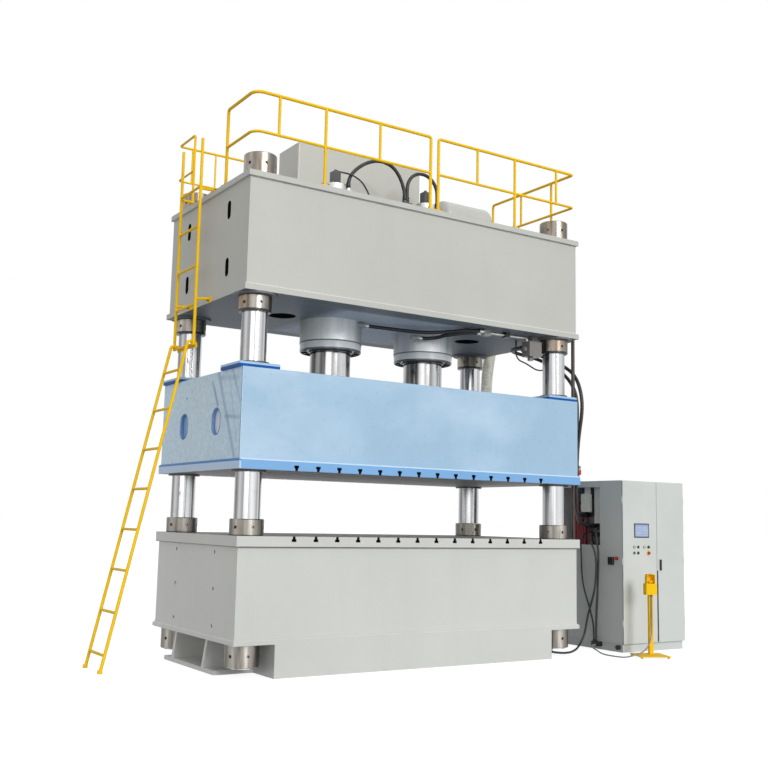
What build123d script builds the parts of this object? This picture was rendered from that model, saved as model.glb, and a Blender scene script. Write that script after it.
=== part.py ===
from build123d import *
import os
from math import asin, cos, radians, sin, tan

# A four-column hydraulic press with its handrails, ladders, control cabinet and pedestal.
# Millimetres. X runs right along the front, Y to the back and Z up from the floor under the press.

# Columns
COLUMN_X = 2040.0
COLUMN_Y = 838.0
COLUMN_R = 134.0
COLUMN_FOOT = 90.0
CORNERS = [(-COLUMN_X, -COLUMN_Y), (COLUMN_X, -COLUMN_Y), (-COLUMN_X, COLUMN_Y), (COLUMN_X, COLUMN_Y)]

# Heights of the stack, from the floor up
FOOT_BOX_HEIGHT = 326.0
BASE_FLANGE = 55.0
BASE_BODY_HEIGHT = 880.0
BOLSTER_THICKNESS = 109.0
DAYLIGHT = 650.0
PLATEN_THICKNESS = 106.0
SLIDE_BODY_HEIGHT = 907.0
ROD_SHOWN = 419.0
GLAND_HEIGHT = 99.0
BARREL_SHOWN = 258.0
CROWN_FLANGE = 61.0
CROWN_BODY_HEIGHT = 1119.0
CROWN_PLATE = 59.0

BASE_FLANGE_TOP = FOOT_BOX_HEIGHT + BASE_FLANGE
BASE_TOP = BASE_FLANGE_TOP + BASE_BODY_HEIGHT
BOLSTER_TOP = BASE_TOP + BOLSTER_THICKNESS
PLATEN_BOTTOM = BOLSTER_TOP + DAYLIGHT
PLATEN_TOP = PLATEN_BOTTOM + PLATEN_THICKNESS
SLIDE_TOP = PLATEN_TOP + SLIDE_BODY_HEIGHT
GLAND_BOTTOM = SLIDE_TOP + ROD_SHOWN
BARREL_BOTTOM = GLAND_BOTTOM + GLAND_HEIGHT
CROWN_BOTTOM = BARREL_BOTTOM + BARREL_SHOWN
CROWN_FLANGE_TOP = CROWN_BOTTOM + CROWN_FLANGE
CROWN_BODY_TOP = CROWN_FLANGE_TOP + CROWN_BODY_HEIGHT
CROWN_TOP = CROWN_BODY_TOP + CROWN_PLATE

# Each beam's walls stand this far outside the column centres, and its plates overhang the walls
CROWN_X = COLUMN_X + 195.0
CROWN_Y = COLUMN_Y + 190.0
CROWN_OVERHANG_X = 25.0
CROWN_OVERHANG_Y = 28.0
SLIDE_X = COLUMN_X + 201.0
SLIDE_Y = COLUMN_Y + 206.0
PLATEN_OVERHANG_X = 15.0
PLATEN_OVERHANG_Y = 32.0
PLATEN_CHAMFER = 14.0
BASE_X = COLUMN_X + 182.0
BASE_Y = COLUMN_Y + 202.0
BOLSTER_OVERHANG_X = 28.0
BOLSTER_OVERHANG_Y = 31.0
BOLSTER_CHAMFER = 7.0
BASE_FLANGE_OVERHANG_X = 19.0
BASE_FLANGE_OVERHANG_Y = 29.0
BASE_FLANGE_CHAMFER = 17.0
FOOT_BOX_X = COLUMN_X - 242.0

# Welded beams
WALL = 50.0
SLEEVE_WALL = 45.0
FIT = 0.3
CROWN_RIBS = (-1790.0, -1105.0, 0.0, 1105.0, 1790.0)
SLIDE_RIBS = (-1790.0, -1105.0, 0.0, 1105.0, 1790.0)
BASE_RIBS = (-1500.0, -750.0, 0.0, 750.0, 1500.0)
CROWN_SLOT_Y = 535.0
CROWN_SLOT_WIDTH = 85.0
CROWN_SLOT_LENGTH = 200.0
CROWN_SLOT_HEIGHTS = (CROWN_BOTTOM + 321.0, CROWN_BOTTOM + 937.0)
CROWN_HOLE_X = 1310.0
CROWN_HOLE_Y = -30.0
CROWN_HOLE_R = 155.0
SEAT_R = 230.0
SEAT_HEIGHT = 19.0
WINDOW_Y = (-441.0, 416.0)
WINDOW_WIDTH = 199.0
WINDOW_LENGTH = 274.0
WINDOW_Z = PLATEN_TOP + 395.0
WINDOW_DEPTH = 38.0
SENSOR_HOLE_R = 15.0
SENSOR_HOLE_Y = 365.0
SENSOR_HOLE_Z = PLATEN_TOP + 703.0
CABLE_ENTRY = (14.0, -700.0, 60.0)
CABLE_ENTRY_R = 32.0
SIDE_HOLE_R = 20.0
SIDE_HOLE_DEPTH = 35.0
SIDE_HOLE_Y = 500.0
SIDE_HOLE_RISE = 364.0
SIDE_HOLE_Z = FOOT_BOX_HEIGHT + 505.0
FOOT_PLATE_END = COLUMN_X + 192.0
FOOT_PLATE_Y = (-612.0, 691.0)
FOOT_PLATE_THICKNESS = 44.0
GUSSET_Y = (-333.0, 470.0)
GUSSET_THICKNESS = 50.0
GUSSET_TOP_INSET = 40.0

# T-slots of the bolster and the slide platen
SLOT_COUNT = 14
SLOT_PITCH = 250.0
SLOT_THROAT = 30.0
SLOT_HEAD_WIDTH = 52.0
SLOT_HEAD_HEIGHT = 26.0
SLOT_DEPTH = 54.0

# Column nuts
NUT_R = 172.0
NUT_CHAMFER = 8.0
NUT_HEIGHT_CROWN_TOP = 234.0
NUT_HEIGHT_CROWN_UNDER = 170.0
NUT_HEIGHT_BASE_TOP = 164.0
NUT_HEIGHT_BASE_UNDER = 224.0
NUT_HOLES = 6
NUT_FIRST_HOLE = -95.0
NUT_HOLE_R = 17.0
NUT_HOLE_DEPTH = 24.0

# Slide guides
GUIDE_PLATE_THICKNESS = 57.0
GUIDE_PLATE_OUTER_X = COLUMN_X + 225.0
GUIDE_PLATE_INNER_X = COLUMN_X - 225.0
GUIDE_PLATE_FRONT = (-COLUMN_Y - 172.0, -COLUMN_Y + 284.0)
GUIDE_PLATE_BACK = (COLUMN_Y - 284.0, COLUMN_Y + 200.0)
GUIDE_PLATE_CHAMFER = 6.0
BUSH_R = 152.0
BUSH_LENGTH = 260.0
BUSH_FLANGE_R = 168.0
BUSH_FLANGE_HEIGHT = 16.0
LOWER_BUSH_FLANGE_R = 175.0
LOWER_BUSH_FLANGE_HEIGHT = 20.0

# Cylinders
CYLINDER_X = 655.0
ROD_R = 235.0
BARREL_R = 360.0
BORE_R = 300.0
GLAND_R = BARREL_R - 5.0
BORE_HEIGHT = 1350.0
PISTON_HEIGHT = 150.0
ROD_LENGTH = 1217.0
BARREL_ABOVE_CROWN = 80.0
HEAD_R = 430.0
HEAD_HEIGHT = 100.0
HEAD_NECK_R = 220.0
HEAD_NECK_HEIGHT = 152.0
PREFILL_R = 120.0
PREFILL_HEIGHT = 174.0
GLAND_BOLT_COUNT = 12
GLAND_BOLT_CIRCLE_R = 305.0
GLAND_BOLT_R = 24.0
GLAND_BOLT_HEAD = 18.0
GLAND_RECESS = 22.0
GLAND_LIP = 14.0

# Equipment on the crown
HEAD_TOP = CROWN_TOP + HEAD_HEIGHT
NECK_TOP = HEAD_TOP + HEAD_NECK_HEIGHT
PREFILL_TOP = NECK_TOP + PREFILL_HEIGHT
VALVE_WIDTH = 96.0
VALVE_HEIGHT = 166.0
VALVE_BASE_X = (-80.0, 115.0)
VALVE_BASE_Y = 55.0
VALVE_BASE_HEIGHT = 20.0
VALVE_CAP = 14.0
VALVE_CAP_HEIGHT = 24.0
HOSE_PORT_X = 182.0
HOSE_PORT_Z = (PREFILL_TOP - 94.0, PREFILL_TOP - 34.0)
VALVE_HOSE_SEAT = PREFILL_TOP - 4.0
HOSE_COLLAR_R = 31.0
TANK_X = 905.0
TANK_Y = (480.0, 1000.0)
TANK_HEIGHT = 1052.0
TANK_WALL = 8.0
SUCTION_R = 70.0
SUCTION_Z = CROWN_TOP + 180.0
SUCTION_PORT = 345.0
VESSEL_R = 215.0
VESSEL_DOME = 95.0
VESSEL_KNUCKLE = 60.0
VESSEL_X = (900.0, 1770.0)
VESSEL_Y = 150.0
VESSEL_Z = CROWN_TOP + 370.0
SADDLE_X = (1130.0, 1600.0)
SADDLE_THICKNESS = 40.0
PIPE_BLOCK_X = (290.0, 424.0)
PIPE_BLOCK_Y = (-60.0, 70.0)
PIPE_BLOCK_PORTS = ((334.0, -12.0), (390.0, 18.0))

# Yellow tube work
RAIL_R = 17.0
THIN_RAIL_R = 13.5
RAIL_TOP = CROWN_TOP + 860.0
RAIL_MID = CROWN_TOP + 436.0
RAIL_END_BEND = 30.0
RAIL_WIDE_BEND = 110.0
RAIL_TIGHT_BEND = 40.0
RAIL_X = 2210.0
RAIL_Y = 1010.0
FOOT_PAD_LENGTH = 100.0
FOOT_PAD_WIDTH = 80.0
FOOT_PAD_THICKNESS = 12.0
POST_R = 16.0
UPRIGHT_R = 15.0
THIN_UPRIGHT_R = 11.0
LADDER_TUBE_R = 16.5
RUNG_R = 14.5
UPPER_LADDER_X = -2385.0
UPPER_LADDER_Y = (-100.0, 440.0)
UPPER_LADDER_Z = (3350.0, 5630.0)
UPPER_RUNGS = (3361.0, 3796.0, 4216.0, 4655.0, 5092.0)
LOWER_LADDER_Y = (-64.0, 404.0)
LOWER_LADDER_FOOT_X = -3186.0
LOWER_LADDER_SLOPE = 0.2214
LOWER_RUNGS = (169.0, 578.0, 992.0, 1402.0, 1820.0, 2239.0, 2662.0, 3082.0)
LADDER_FOOT_R = 24.0
LADDER_FOOT_HEIGHT = 34.0
LADDER_START = 12.0
LADDER_HOOK_END = -2345.0
LADDER_HOOK_DROP = 62.0
BRACKET_PLATE = 70.0
BRACKET_PLATE_LENGTH = 110.0
BRACKET_PLATE_THICKNESS = 10.0
LOWER_BRACKET_Z = CROWN_FLANGE_TOP - 20.0
LOWER_BRACKET_SPLAY = 90.0
BOLT_R = 17.0
BOLT_HEAD = 24.0

# Pipes under and beside the crown
UNDER_BLOCK_X = (1600.0, 1790.0)
UNDER_BLOCK_Y = (-900.0, -760.0)
UNDER_BLOCK_Z = (CROWN_BOTTOM - 254.0, CROWN_BOTTOM - 69.0)
JUNCTION_X = (930.0, 1020.0)
JUNCTION_Y = (-880.0, -778.0)
JUNCTION_Z = (CROWN_BOTTOM - 74.0, CROWN_BOTTOM)
UNDER_PIPE_Y = -830.0
FITTING_R = 27.0
UNDER_PIPE_R = 19.0
UNDER_PIPE_Z = CROWN_BOTTOM - 31.0
UNDER_PIPE_END_X = 1618.0
DROP_PIPE_R = 22.5
DROP_PIPE_X = CROWN_X + 85.0
DROP_PIPE_Y = -885.0
DROP_PIPE_TOP = CROWN_BODY_TOP - 289.0
DROP_PIPE_LOW = 1000.0
DROP_PIPE_BACK_Y = -50.0
DROP_PIPE_BEND = 110.0
CLAMP_WIDTH = 60.0
CLAMP_HEIGHT = 50.0
CLAMP_REACH = 26.0
CONDUIT_R = 82.0
CONDUIT_TOP = (2527.0, 1000.0, 3920.0)
CONDUIT_FOOT = (2392.0, 1000.0, 2890.0)
CONDUIT_LUG = 50.0

# Cabinet
CABINET_X = (3005.0, 4110.0)
CABINET_Y = (-1025.0, 150.0)
CABINET_HEIGHT = 2110.0
PLINTH_HEIGHT = 100.0
PLINTH_INSET = 15.0
SHEET = 5.0
FRAME_LIP = 30.0
PARTITION_Y = -652.0
SIDE_WINDOW_Y = (-648.0, 50.0)
SIDE_WINDOW_Z = (1295.0, 2030.0)
DOOR_SPLIT = 3608.0
DOOR_GAP = 8.0
DOOR_DEPTH = 20.0
DOOR_SHEET = 3.0
DOOR_SEAT = 0.5
DOOR_MARGIN = 4.0
HINGE_OFFSET = 7.0
HINGE_R = 6.0
HINGE_PIN_R = 3.0
HINGE_KNUCKLE = 40.0
HINGE_HEIGHTS = (350.0, 1110.0, 1870.0)
PANEL_X = (3199.0, 3462.0)
PANEL_Z = (1401.0, 1579.0)
PANEL_BEZEL = 8.0
PANEL_FRAME = 14.0
PANEL_DEPTH = 55.0
PANEL_CUT_MARGIN = 10.0
UPPER_ROW_Z = 1285.0
LOWER_ROW_Z = 1211.0
BUTTON_X = (3198.0, 3267.0, 3377.0, 3450.0)
BUTTON_R = 13.0
BUTTON_CAP = 10.0
BUTTON_STAND = 5.0
BUTTON_STEM_R = 6.0
BUTTON_STEM_LENGTH = 30.0
BUTTON_HOLE_CLEARANCE = 0.4
COLLAR_R = 17.0
COLLAR_HEIGHT = 8.0
STOP_PLATE_R = 30.0
STOP_HEAD_R = 20.0
HANDLE_X = 3663.0
HANDLE_Z = (992.0, 1130.0)
HANDLE_WIDTH = 20.0
HANDLE_THICKNESS = 16.0
HANDLE_PIVOT_DROP = 22.0
HANDLE_SHAFT_R = 8.0
CAM_WIDTH = 18.0
CAM_THICKNESS = 5.0
CAM_ROOM = 10.0
CAM_REACH = HANDLE_X - DOOR_SPLIT - DOOR_GAP / 2 - DOOR_SHEET - CAM_ROOM
SWITCH_Y = (-892.0, -797.0)
SWITCH_Z = (1058.0, 1155.0)
SWITCH_DEPTH = 25.0
SWITCH_KNOB_Y = -939.0
SWITCH_KNOB_Z = 1140.0
SWITCH_KNOB_R = 16.0
GLAND_BLOCK_Y = (-660.0, -540.0)
GLAND_BLOCK_Z = (40.0, 100.0)
GLAND_BLOCK_DEPTH = 60.0
SOCKET_Y = -952.0
SOCKET_Z = 58.0
LAMP_X = 3060.0
LAMP_Y = -215.0

# Pump unit in the cabinet's rear part
RESERVOIR_X = (3120.0, 4000.0)
RESERVOIR_Y = (-560.0, 90.0)
RESERVOIR_TOP = 860.0
MOTOR_R = 150.0
MOTOR_X = (3560.0, 3960.0)
MOTOR_Y = -240.0
PUMP_R = 80.0
PUMP_X = 3400.0
MANIFOLD_X = (3150.0, 3330.0)
MANIFOLD_Y = (-600.0, -240.0)
MANIFOLD_TOP = 1700.0
TERMINAL_X = (3030.0, 3080.0)
TERMINAL_Y = (-427.0, -282.0)
TERMINAL_Z = (1714.0, 1946.0)
TERMINAL_HANGER = 6.0
DUCT_X = (3100.0, 3146.0)
DUCT_Y = (-591.0, -456.0)
DUCT_BOTTOM = 1570.0

# Pedestal
PEDESTAL_X = 3118.0
PEDESTAL_Y = -1372.0
PEDESTAL_TURN = -25.1
PEDESTAL_BASE_X = (-235.0, 135.0)
PEDESTAL_BASE_Y = (-280.0, 80.0)
PEDESTAL_BASE_THICKNESS = 10.0
PEDESTAL_PAD_HEIGHT = 18.0
PEDESTAL_PAD_R = 16.0
PEDESTAL_POST = 50.0
PEDESTAL_POST_TOP = 724.0
PEDESTAL_BOX_X = 72.0
PEDESTAL_BOX_Y = 50.0
PEDESTAL_BOX_HEIGHT = 134.0
PEDESTAL_HOOD_X = 52.0
PEDESTAL_HOOD_Y = 36.0
PEDESTAL_HOOD_HEIGHT = 115.0
PEDESTAL_HOOD_WALL = 6.0
PALM_R = 28.0

# Free hoses and cables: diameter, then the points of the route
CORDS = {
    "valve_hose_left": (44.0, [
        (-473, 0, 5470), (-473, 0, 5560), (-438, -1, 5648), (-375, -3, 5725), (-280, -5, 5805), (-165, -6, 5870),
        (-40, -7, 5905), (85, -8, 5895), (185, -9, 5845), (262, -10, 5755), (310, -11, 5650), (334, -12, 5560),
        (334, -12, 5470)]),
    "valve_hose_right": (44.0, [
        (390, 18, 5470), (390, 18, 5585), (392, 17, 5705), (450, 15, 5810), (552, 12, 5872), (672, 8, 5873),
        (776, 5, 5812), (835, 2, 5706), (837, 0, 5585), (837, 0, 5470)]),
    "valve_cable": (20.0, [
        (-641, 0, 5652), (-556, 0, 5652), (-477, -32, 5641), (-396, -55, 5610),
        (-322, -66, 5562), (-262, -68, 5494), (-212, -66, 5412), (-178, -62, 5322),
        (-160, -59.5, 5227.5), (-158, -60, 5136), (-158, -60, 5048)]),
    "under_hose_left": (44.0, [
        (-402, -300, 3772), (-273, -300, 3772), (-145, -346, 3764), (-20, -398, 3755),
        (108.5, -441, 3747), (238, -483.5, 3742), (363, -535.5, 3744), (482.5, -605.5, 3752),
        (592.5, -690, 3762.5), (686, -790, 3772), (801, -854, 3778), (930, -854, 3778)]),
    "under_hose_right": (44.0, [
        (300, -380, 3698), (386, -380, 3698), (471.5, -417.5, 3703.5), (535, -483.5, 3713.5),
        (565, -571.5, 3727), (622, -643, 3737.5), (689, -708.5, 3747.5), (757, -772, 3757),
        (844, -804, 3762), (930, -804, 3762)]),
    "sensor_cable": (18.0, [
        (1743, -478, 3809), (1743, -478, 3714), (1745, -479, 3618), (1792, -488, 3562), (1870, -496, 3545),
        (1960, -500, 3508), (2040, -500, 3475), (2120, -502, 3466), (2185, -525, 3485), (2222, -575, 3545),
        (2230, -625, 3620), (2230, -640, 3714), (2230, -640, 3809)]),
    "side_hose_front": (45.0, [
        (1725, -760, 3690), (1725, -637, 3690), (1795, -520, 3690), (1920, -472, 3686), (2055, -482, 3672),
        (2190, -515, 3640), (2310, -580, 3590), (2375, -680, 3520), (2399, -800, 3430), (2400, -891, 3309),
        (2400, -945, 3160), (2400, -965, 3010), (2400, -949, 2853.5), (2400, -920, 2717.5), (2400, -896, 2579.5),
        (2400, -879, 2440.5), (2401, -868.5, 2301), (2403, -860, 2161.5), (2410.5, -847.5, 2022.5),
        (2435, -818, 1888), (2484.5, -769.5, 1767), (2559, -705.5, 1667.5), (2656.5, -631, 1600.5),
        (2771, -560, 1563.5), (2893, -494.5, 1546), (3017, -430, 1540), (3150, -430, 1540)]),
    "side_hose_back": (45.0, [
        (1655, -760, 3690), (1655, -612, 3690), (1695, -455, 3690), (1800, -355, 3688), (1940, -320, 3680),
        (2080, -345, 3660), (2210, -400, 3622), (2325, -475, 3560), (2410, -570, 3475), (2450, -680, 3360),
        (2464, -765, 3225), (2466, -805, 3080), (2464.5, -812, 2930), (2462, -809, 2786.5),
        (2460.5, -799, 2617.5), (2461.5, -786.5, 2448.5), (2465, -771, 2280), (2479, -739, 2114.5),
        (2525.5, -675.5, 1964.5), (2613.5, -587, 1851), (2726, -487, 1773), (2848, -384, 1717.5),
        (2990, -300, 1680), (3150, -300, 1680)]),
    "cabinet_cable_a": (26.0, [
        (3150, -575, 1520), (3051, -575, 1520), (2973.5, -600, 1460), (2956.5, -635, 1361),
        (2967.5, -650, 1257), (2971.5, -651.5, 1151.5), (2972, -647, 1045.5), (2972, -642.5, 940),
        (2972, -637.5, 834), (2972, -632, 728), (2971, -624.5, 622.5), (2970.5, -616, 517),
        (2970, -609.5, 411), (2969, -606, 305), (2968, -606, 199), (2968, -606, 100)]),
    "cabinet_cable_b": (26.0, [
        (3150, -500, 1440), (3047, -500, 1440), (2951.5, -532, 1405.5), (2901.5, -588, 1334),
        (2910.5, -640.5, 1239), (2917.5, -664, 1135), (2920, -665.5, 1027), (2920, -658.5, 918.5),
        (2920, -645.5, 811), (2920, -622, 705), (2920, -586.5, 602.5), (2920, -545.5, 502),
        (2919.5, -508, 400), (2917, -483.5, 294.5), (2901.5, -472.5, 188), (2849, -475.5, 95.5),
        (2764, -503.5, 32), (2676, -563.5, 15), (2590, -629.5, 13.5), (2502.5, -694.5, 13.5),
        (2412.5, -755, 13.5), (2315, -803, 14), (2209, -824.5, 17), (2102.5, -804.5, 26),
        (2010, -749.5, 43.5), (1915, -700, 60), (1812, -700, 60)]),
    "cabinet_cable_c": (20.0, [
        (3150, -330, 1450), (3060, -330, 1450), (2987.5, -332.5, 1393.5), (2968, -336, 1300.5),
        (2973, -339, 1205), (2974.5, -342, 1110), (2974, -346, 1014.5), (2974, -351.5, 919.5),
        (2974, -366, 825), (2974, -391, 733), (2974, -424.5, 643.5), (2974, -463, 556.5),
        (2974, -500, 468.5), (2974, -531, 378.5), (2973.5, -552, 285.5), (2973, -560, 190),
        (2973, -560, 100)]),
    "pedestal_cable": (16.0, [
        (3101, -1408, 724), (3101, -1408, 636.5), (3100.5, -1409, 544), (3099, -1411, 451.5),
        (3094, -1415, 359), (3081, -1420, 267.5), (3052, -1425, 179), (2995, -1430, 105.5),
        (2913.5, -1435, 63), (2824, -1442, 48), (2735.5, -1439, 28), (2662.5, -1389.5, 9),
        (2629, -1304, 8.5), (2621, -1212, 8.5), (2630, -1120.5, 8.5), (2657.5, -1032.5, 8.5),
        (2701.5, -951.5, 8.5), (2753, -874.5, 10), (2790.5, -792.5, 19), (2804.5, -703.5, 39.5),
        (2857.5, -632, 60), (2945, -632, 60)]),
}


# Shapes used throughout

def block(x, y, z):
    """A box from its low and high values along each axis."""
    x, y, z = sorted(x), sorted(y), sorted(z)
    centre = Pos((x[0] + x[1]) / 2, (y[0] + y[1]) / 2, (z[0] + z[1]) / 2)
    return centre * Box(x[1] - x[0], y[1] - y[0], z[1] - z[0])


def around(centre, half):
    """Low and high values round a centre."""
    return (centre - half, centre + half)


def bar(start, end, radius):
    """A round bar from one point to another."""
    start, end = Vector(*start), Vector(*end)
    length = (end - start).length
    foot = Plane(origin=start, z_dir=end - start)
    return foot * Cylinder(radius, length, align=(Align.CENTER, Align.CENTER, Align.MIN))


def post(x, y, low, high, radius):
    """A round bar standing along Z."""
    return bar((x, y, low), (x, y, high), radius)


def tube_along(points, bend, radius):
    """A bent tube whose corners all have the same radius."""
    path = FilletPolyline(*points, radius=bend)
    return sweep((path ^ 0) * Circle(radius), path=path)


def obround(x, y, z, width, length):
    """An upright slot with round ends, cut through from one X to another."""
    cutter = extrude(Plane.YZ * SlotOverall(length, width, rotation=90), x[1] - x[0])
    return Pos(x[0], y, z) * cutter


def hexagon(x, y, low, high, radius):
    """A bolt's hexagon head standing along Z."""
    return Pos(x, y, low) * extrude(RegularPolygon(radius, 6), high - low)


def edges_at(solid, z):
    """The edges of a solid that lie level at one height."""
    return solid.edges().filter_by_position(Axis.Z, z - 0.01, z + 0.01)


def save(name, shape):
    """Writes one piece, or one group of like pieces, under its name."""
    solids = shape.solids()
    export_step(solids[0] if len(solids) == 1 else Compound(solids), f"parts/{name}.step")


def gather(pieces):
    """One group of separate solids."""
    return Compound([solid for piece in pieces for solid in piece.solids()])


# Welded beams

def cells(half_x, half_y, low, high, ribs):
    """The closed spaces inside a beam: one between each pair of ribs."""
    edges = [WALL - half_x]
    for rib in ribs:
        edges += [rib - WALL / 2, rib + WALL / 2]
    edges.append(half_x - WALL)
    pairs = zip(edges[::2], edges[1::2])
    return [block(pair, (WALL - half_y, half_y - WALL), (low, high)) for pair in pairs]


def hollowed(beam, spaces, sleeves):
    """A beam less its inner spaces, which leave the sleeves standing round the bores."""
    for space in spaces:
        for x, y, radius in sleeves:
            space -= post(x, y, 0, CROWN_TOP, radius + SLEEVE_WALL)
        beam -= space
    for x, y, radius in sleeves:
        beam -= post(x, y, -1, CROWN_TOP + 1, radius)
    return beam


def column_sleeves(radius):
    return [(x, y, radius) for x, y in CORNERS]


def t_slots(half_y, face, up):
    """T-slots along Y in a working face; up is 1 where the face looks up and -1 where it looks down."""
    slots = []
    head_top = face - up * (SLOT_DEPTH - SLOT_HEAD_HEIGHT)
    bottom = face - up * SLOT_DEPTH
    for i in range(SLOT_COUNT):
        x = (i - (SLOT_COUNT - 1) / 2) * SLOT_PITCH
        slots.append(block(around(x, SLOT_THROAT / 2), (-half_y, half_y), (head_top, face)))
        slots.append(block(around(x, SLOT_HEAD_WIDTH / 2), (-half_y, half_y), (bottom, head_top)))
    return slots


def base_beam():
    flange_x = BASE_X + BASE_FLANGE_OVERHANG_X
    flange_y = BASE_Y + BASE_FLANGE_OVERHANG_Y
    flange = block((-flange_x, flange_x), (-flange_y, flange_y), (FOOT_BOX_HEIGHT, BASE_FLANGE_TOP))
    flange = chamfer(edges_at(flange, BASE_FLANGE_TOP), BASE_FLANGE_CHAMFER)
    body = block((-BASE_X, BASE_X), (-BASE_Y, BASE_Y), (BASE_FLANGE_TOP, BASE_TOP))
    foot_box = block((-FOOT_BOX_X, FOOT_BOX_X), (-flange_y, flange_y), (0, FOOT_BOX_HEIGHT))
    beam = body + flange + foot_box
    spaces = cells(BASE_X, BASE_Y, BASE_FLANGE_TOP, BASE_TOP - WALL, BASE_RIBS)
    spaces.append(block(around(0, FOOT_BOX_X - WALL), around(0, flange_y - WALL), (WALL, FOOT_BOX_HEIGHT)))
    beam = hollowed(beam, spaces, column_sleeves(COLUMN_R + FIT))
    for side in (-1, 1):
        beam += foot_plate(side)
    for y in (-SIDE_HOLE_Y, SIDE_HOLE_Y):
        for z in (SIDE_HOLE_Z - SIDE_HOLE_RISE, SIDE_HOLE_Z, SIDE_HOLE_Z + SIDE_HOLE_RISE):
            beam -= bar((-BASE_X, y, z), (-BASE_X + SIDE_HOLE_DEPTH, y, z), SIDE_HOLE_R)
    reach, entry_y, entry_z = CABLE_ENTRY
    return beam + bar((FOOT_BOX_X, entry_y, entry_z), (FOOT_BOX_X + reach, entry_y, entry_z), CABLE_ENTRY_R)


def foot_plate(side):
    """One end's floor plate with its upright gussets, which lean in a little towards the top."""
    plate = block((side * FOOT_BOX_X, side * FOOT_PLATE_END), FOOT_PLATE_Y, (0, FOOT_PLATE_THICKNESS))
    top_x = FOOT_PLATE_END - GUSSET_TOP_INSET
    for y in GUSSET_Y:
        outline = Polyline((FOOT_BOX_X, FOOT_PLATE_THICKNESS), (FOOT_PLATE_END, FOOT_PLATE_THICKNESS),
                           (top_x, FOOT_BOX_HEIGHT), (FOOT_BOX_X, FOOT_BOX_HEIGHT), close=True)
        gusset = extrude(Plane.XZ * make_face(outline), GUSSET_THICKNESS / 2, both=True)
        if side < 0:
            gusset = mirror(gusset, about=Plane.YZ)
        plate += Pos(0, y, 0) * gusset
    return plate


def bolster_plate():
    half_x = BASE_X + BOLSTER_OVERHANG_X
    half_y = BASE_Y + BOLSTER_OVERHANG_Y
    plate = block((-half_x, half_x), (-half_y, half_y), (BASE_TOP, BOLSTER_TOP))
    plate = chamfer(edges_at(plate, BASE_TOP), BOLSTER_CHAMFER)
    plate -= t_slots(half_y, BOLSTER_TOP, 1)
    return plate - [post(x, y, BASE_TOP, BOLSTER_TOP, COLUMN_R + FIT) for x, y in CORNERS]


def crown_beam():
    plate_x = CROWN_X + CROWN_OVERHANG_X
    plate_y = CROWN_Y + CROWN_OVERHANG_Y
    beam = block((-CROWN_X, CROWN_X), (-CROWN_Y, CROWN_Y), (CROWN_FLANGE_TOP, CROWN_BODY_TOP))
    beam += block((-plate_x, plate_x), (-plate_y, plate_y), (CROWN_BODY_TOP, CROWN_TOP))
    beam += block((-plate_x, plate_x), (-plate_y, plate_y), (CROWN_BOTTOM, CROWN_FLANGE_TOP))
    beam += [post(x, y, CROWN_BOTTOM - SEAT_HEIGHT, CROWN_BOTTOM, SEAT_R) for x, y in CORNERS]
    spaces = cells(CROWN_X, CROWN_Y, CROWN_FLANGE_TOP, CROWN_BODY_TOP, CROWN_RIBS)
    sleeves = column_sleeves(COLUMN_R + FIT)
    sleeves += [(side * CYLINDER_X, 0, BARREL_R + FIT) for side in (-1, 1)]
    beam = hollowed(beam, spaces, sleeves)
    for side in (-1, 1):
        for y in (-CROWN_SLOT_Y, CROWN_SLOT_Y):
            for z in CROWN_SLOT_HEIGHTS:
                ends = sorted((side * (CROWN_X - WALL - 1), side * (CROWN_X + 1)))
                beam -= obround(ends, y, z, CROWN_SLOT_WIDTH, CROWN_SLOT_LENGTH)
        beam -= post(side * CROWN_HOLE_X, CROWN_HOLE_Y, CROWN_BOTTOM - 1, CROWN_FLANGE_TOP + 1, CROWN_HOLE_R)
    return beam


def slide_beam():
    beam = block((-SLIDE_X, SLIDE_X), (-SLIDE_Y, SLIDE_Y), (PLATEN_TOP, SLIDE_TOP))
    spaces = cells(SLIDE_X, SLIDE_Y, PLATEN_TOP + WALL, SLIDE_TOP - WALL, SLIDE_RIBS)
    beam = hollowed(beam, spaces, column_sleeves(BUSH_R + FIT))
    for side in (-1, 1):
        ends = sorted((side * (SLIDE_X - WINDOW_DEPTH), side * (SLIDE_X + 1)))
        for y in WINDOW_Y:
            beam -= obround(ends, y, WINDOW_Z, WINDOW_WIDTH, WINDOW_LENGTH)
    beam -= bar((-SLIDE_X - 1, SENSOR_HOLE_Y, SENSOR_HOLE_Z), (-SLIDE_X + WALL + 1, SENSOR_HOLE_Y, SENSOR_HOLE_Z),
                SENSOR_HOLE_R)
    foot = Vector(*CONDUIT_FOOT)
    lug = block((SLIDE_X, foot.X + CONDUIT_R), around(foot.Y, CONDUIT_R / 2), (foot.Z - CONDUIT_LUG, foot.Z))
    return beam + lug


def slide_platen():
    half_x = SLIDE_X + PLATEN_OVERHANG_X
    half_y = SLIDE_Y + PLATEN_OVERHANG_Y
    plate = block((-half_x, half_x), (-half_y, half_y), (PLATEN_BOTTOM, PLATEN_TOP))
    plate = chamfer(edges_at(plate, PLATEN_TOP), PLATEN_CHAMFER)
    plate -= t_slots(half_y, PLATEN_BOTTOM, -1)
    return plate - [post(x, y, PLATEN_BOTTOM, PLATEN_TOP, BUSH_R + FIT) for x, y in CORNERS]


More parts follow.
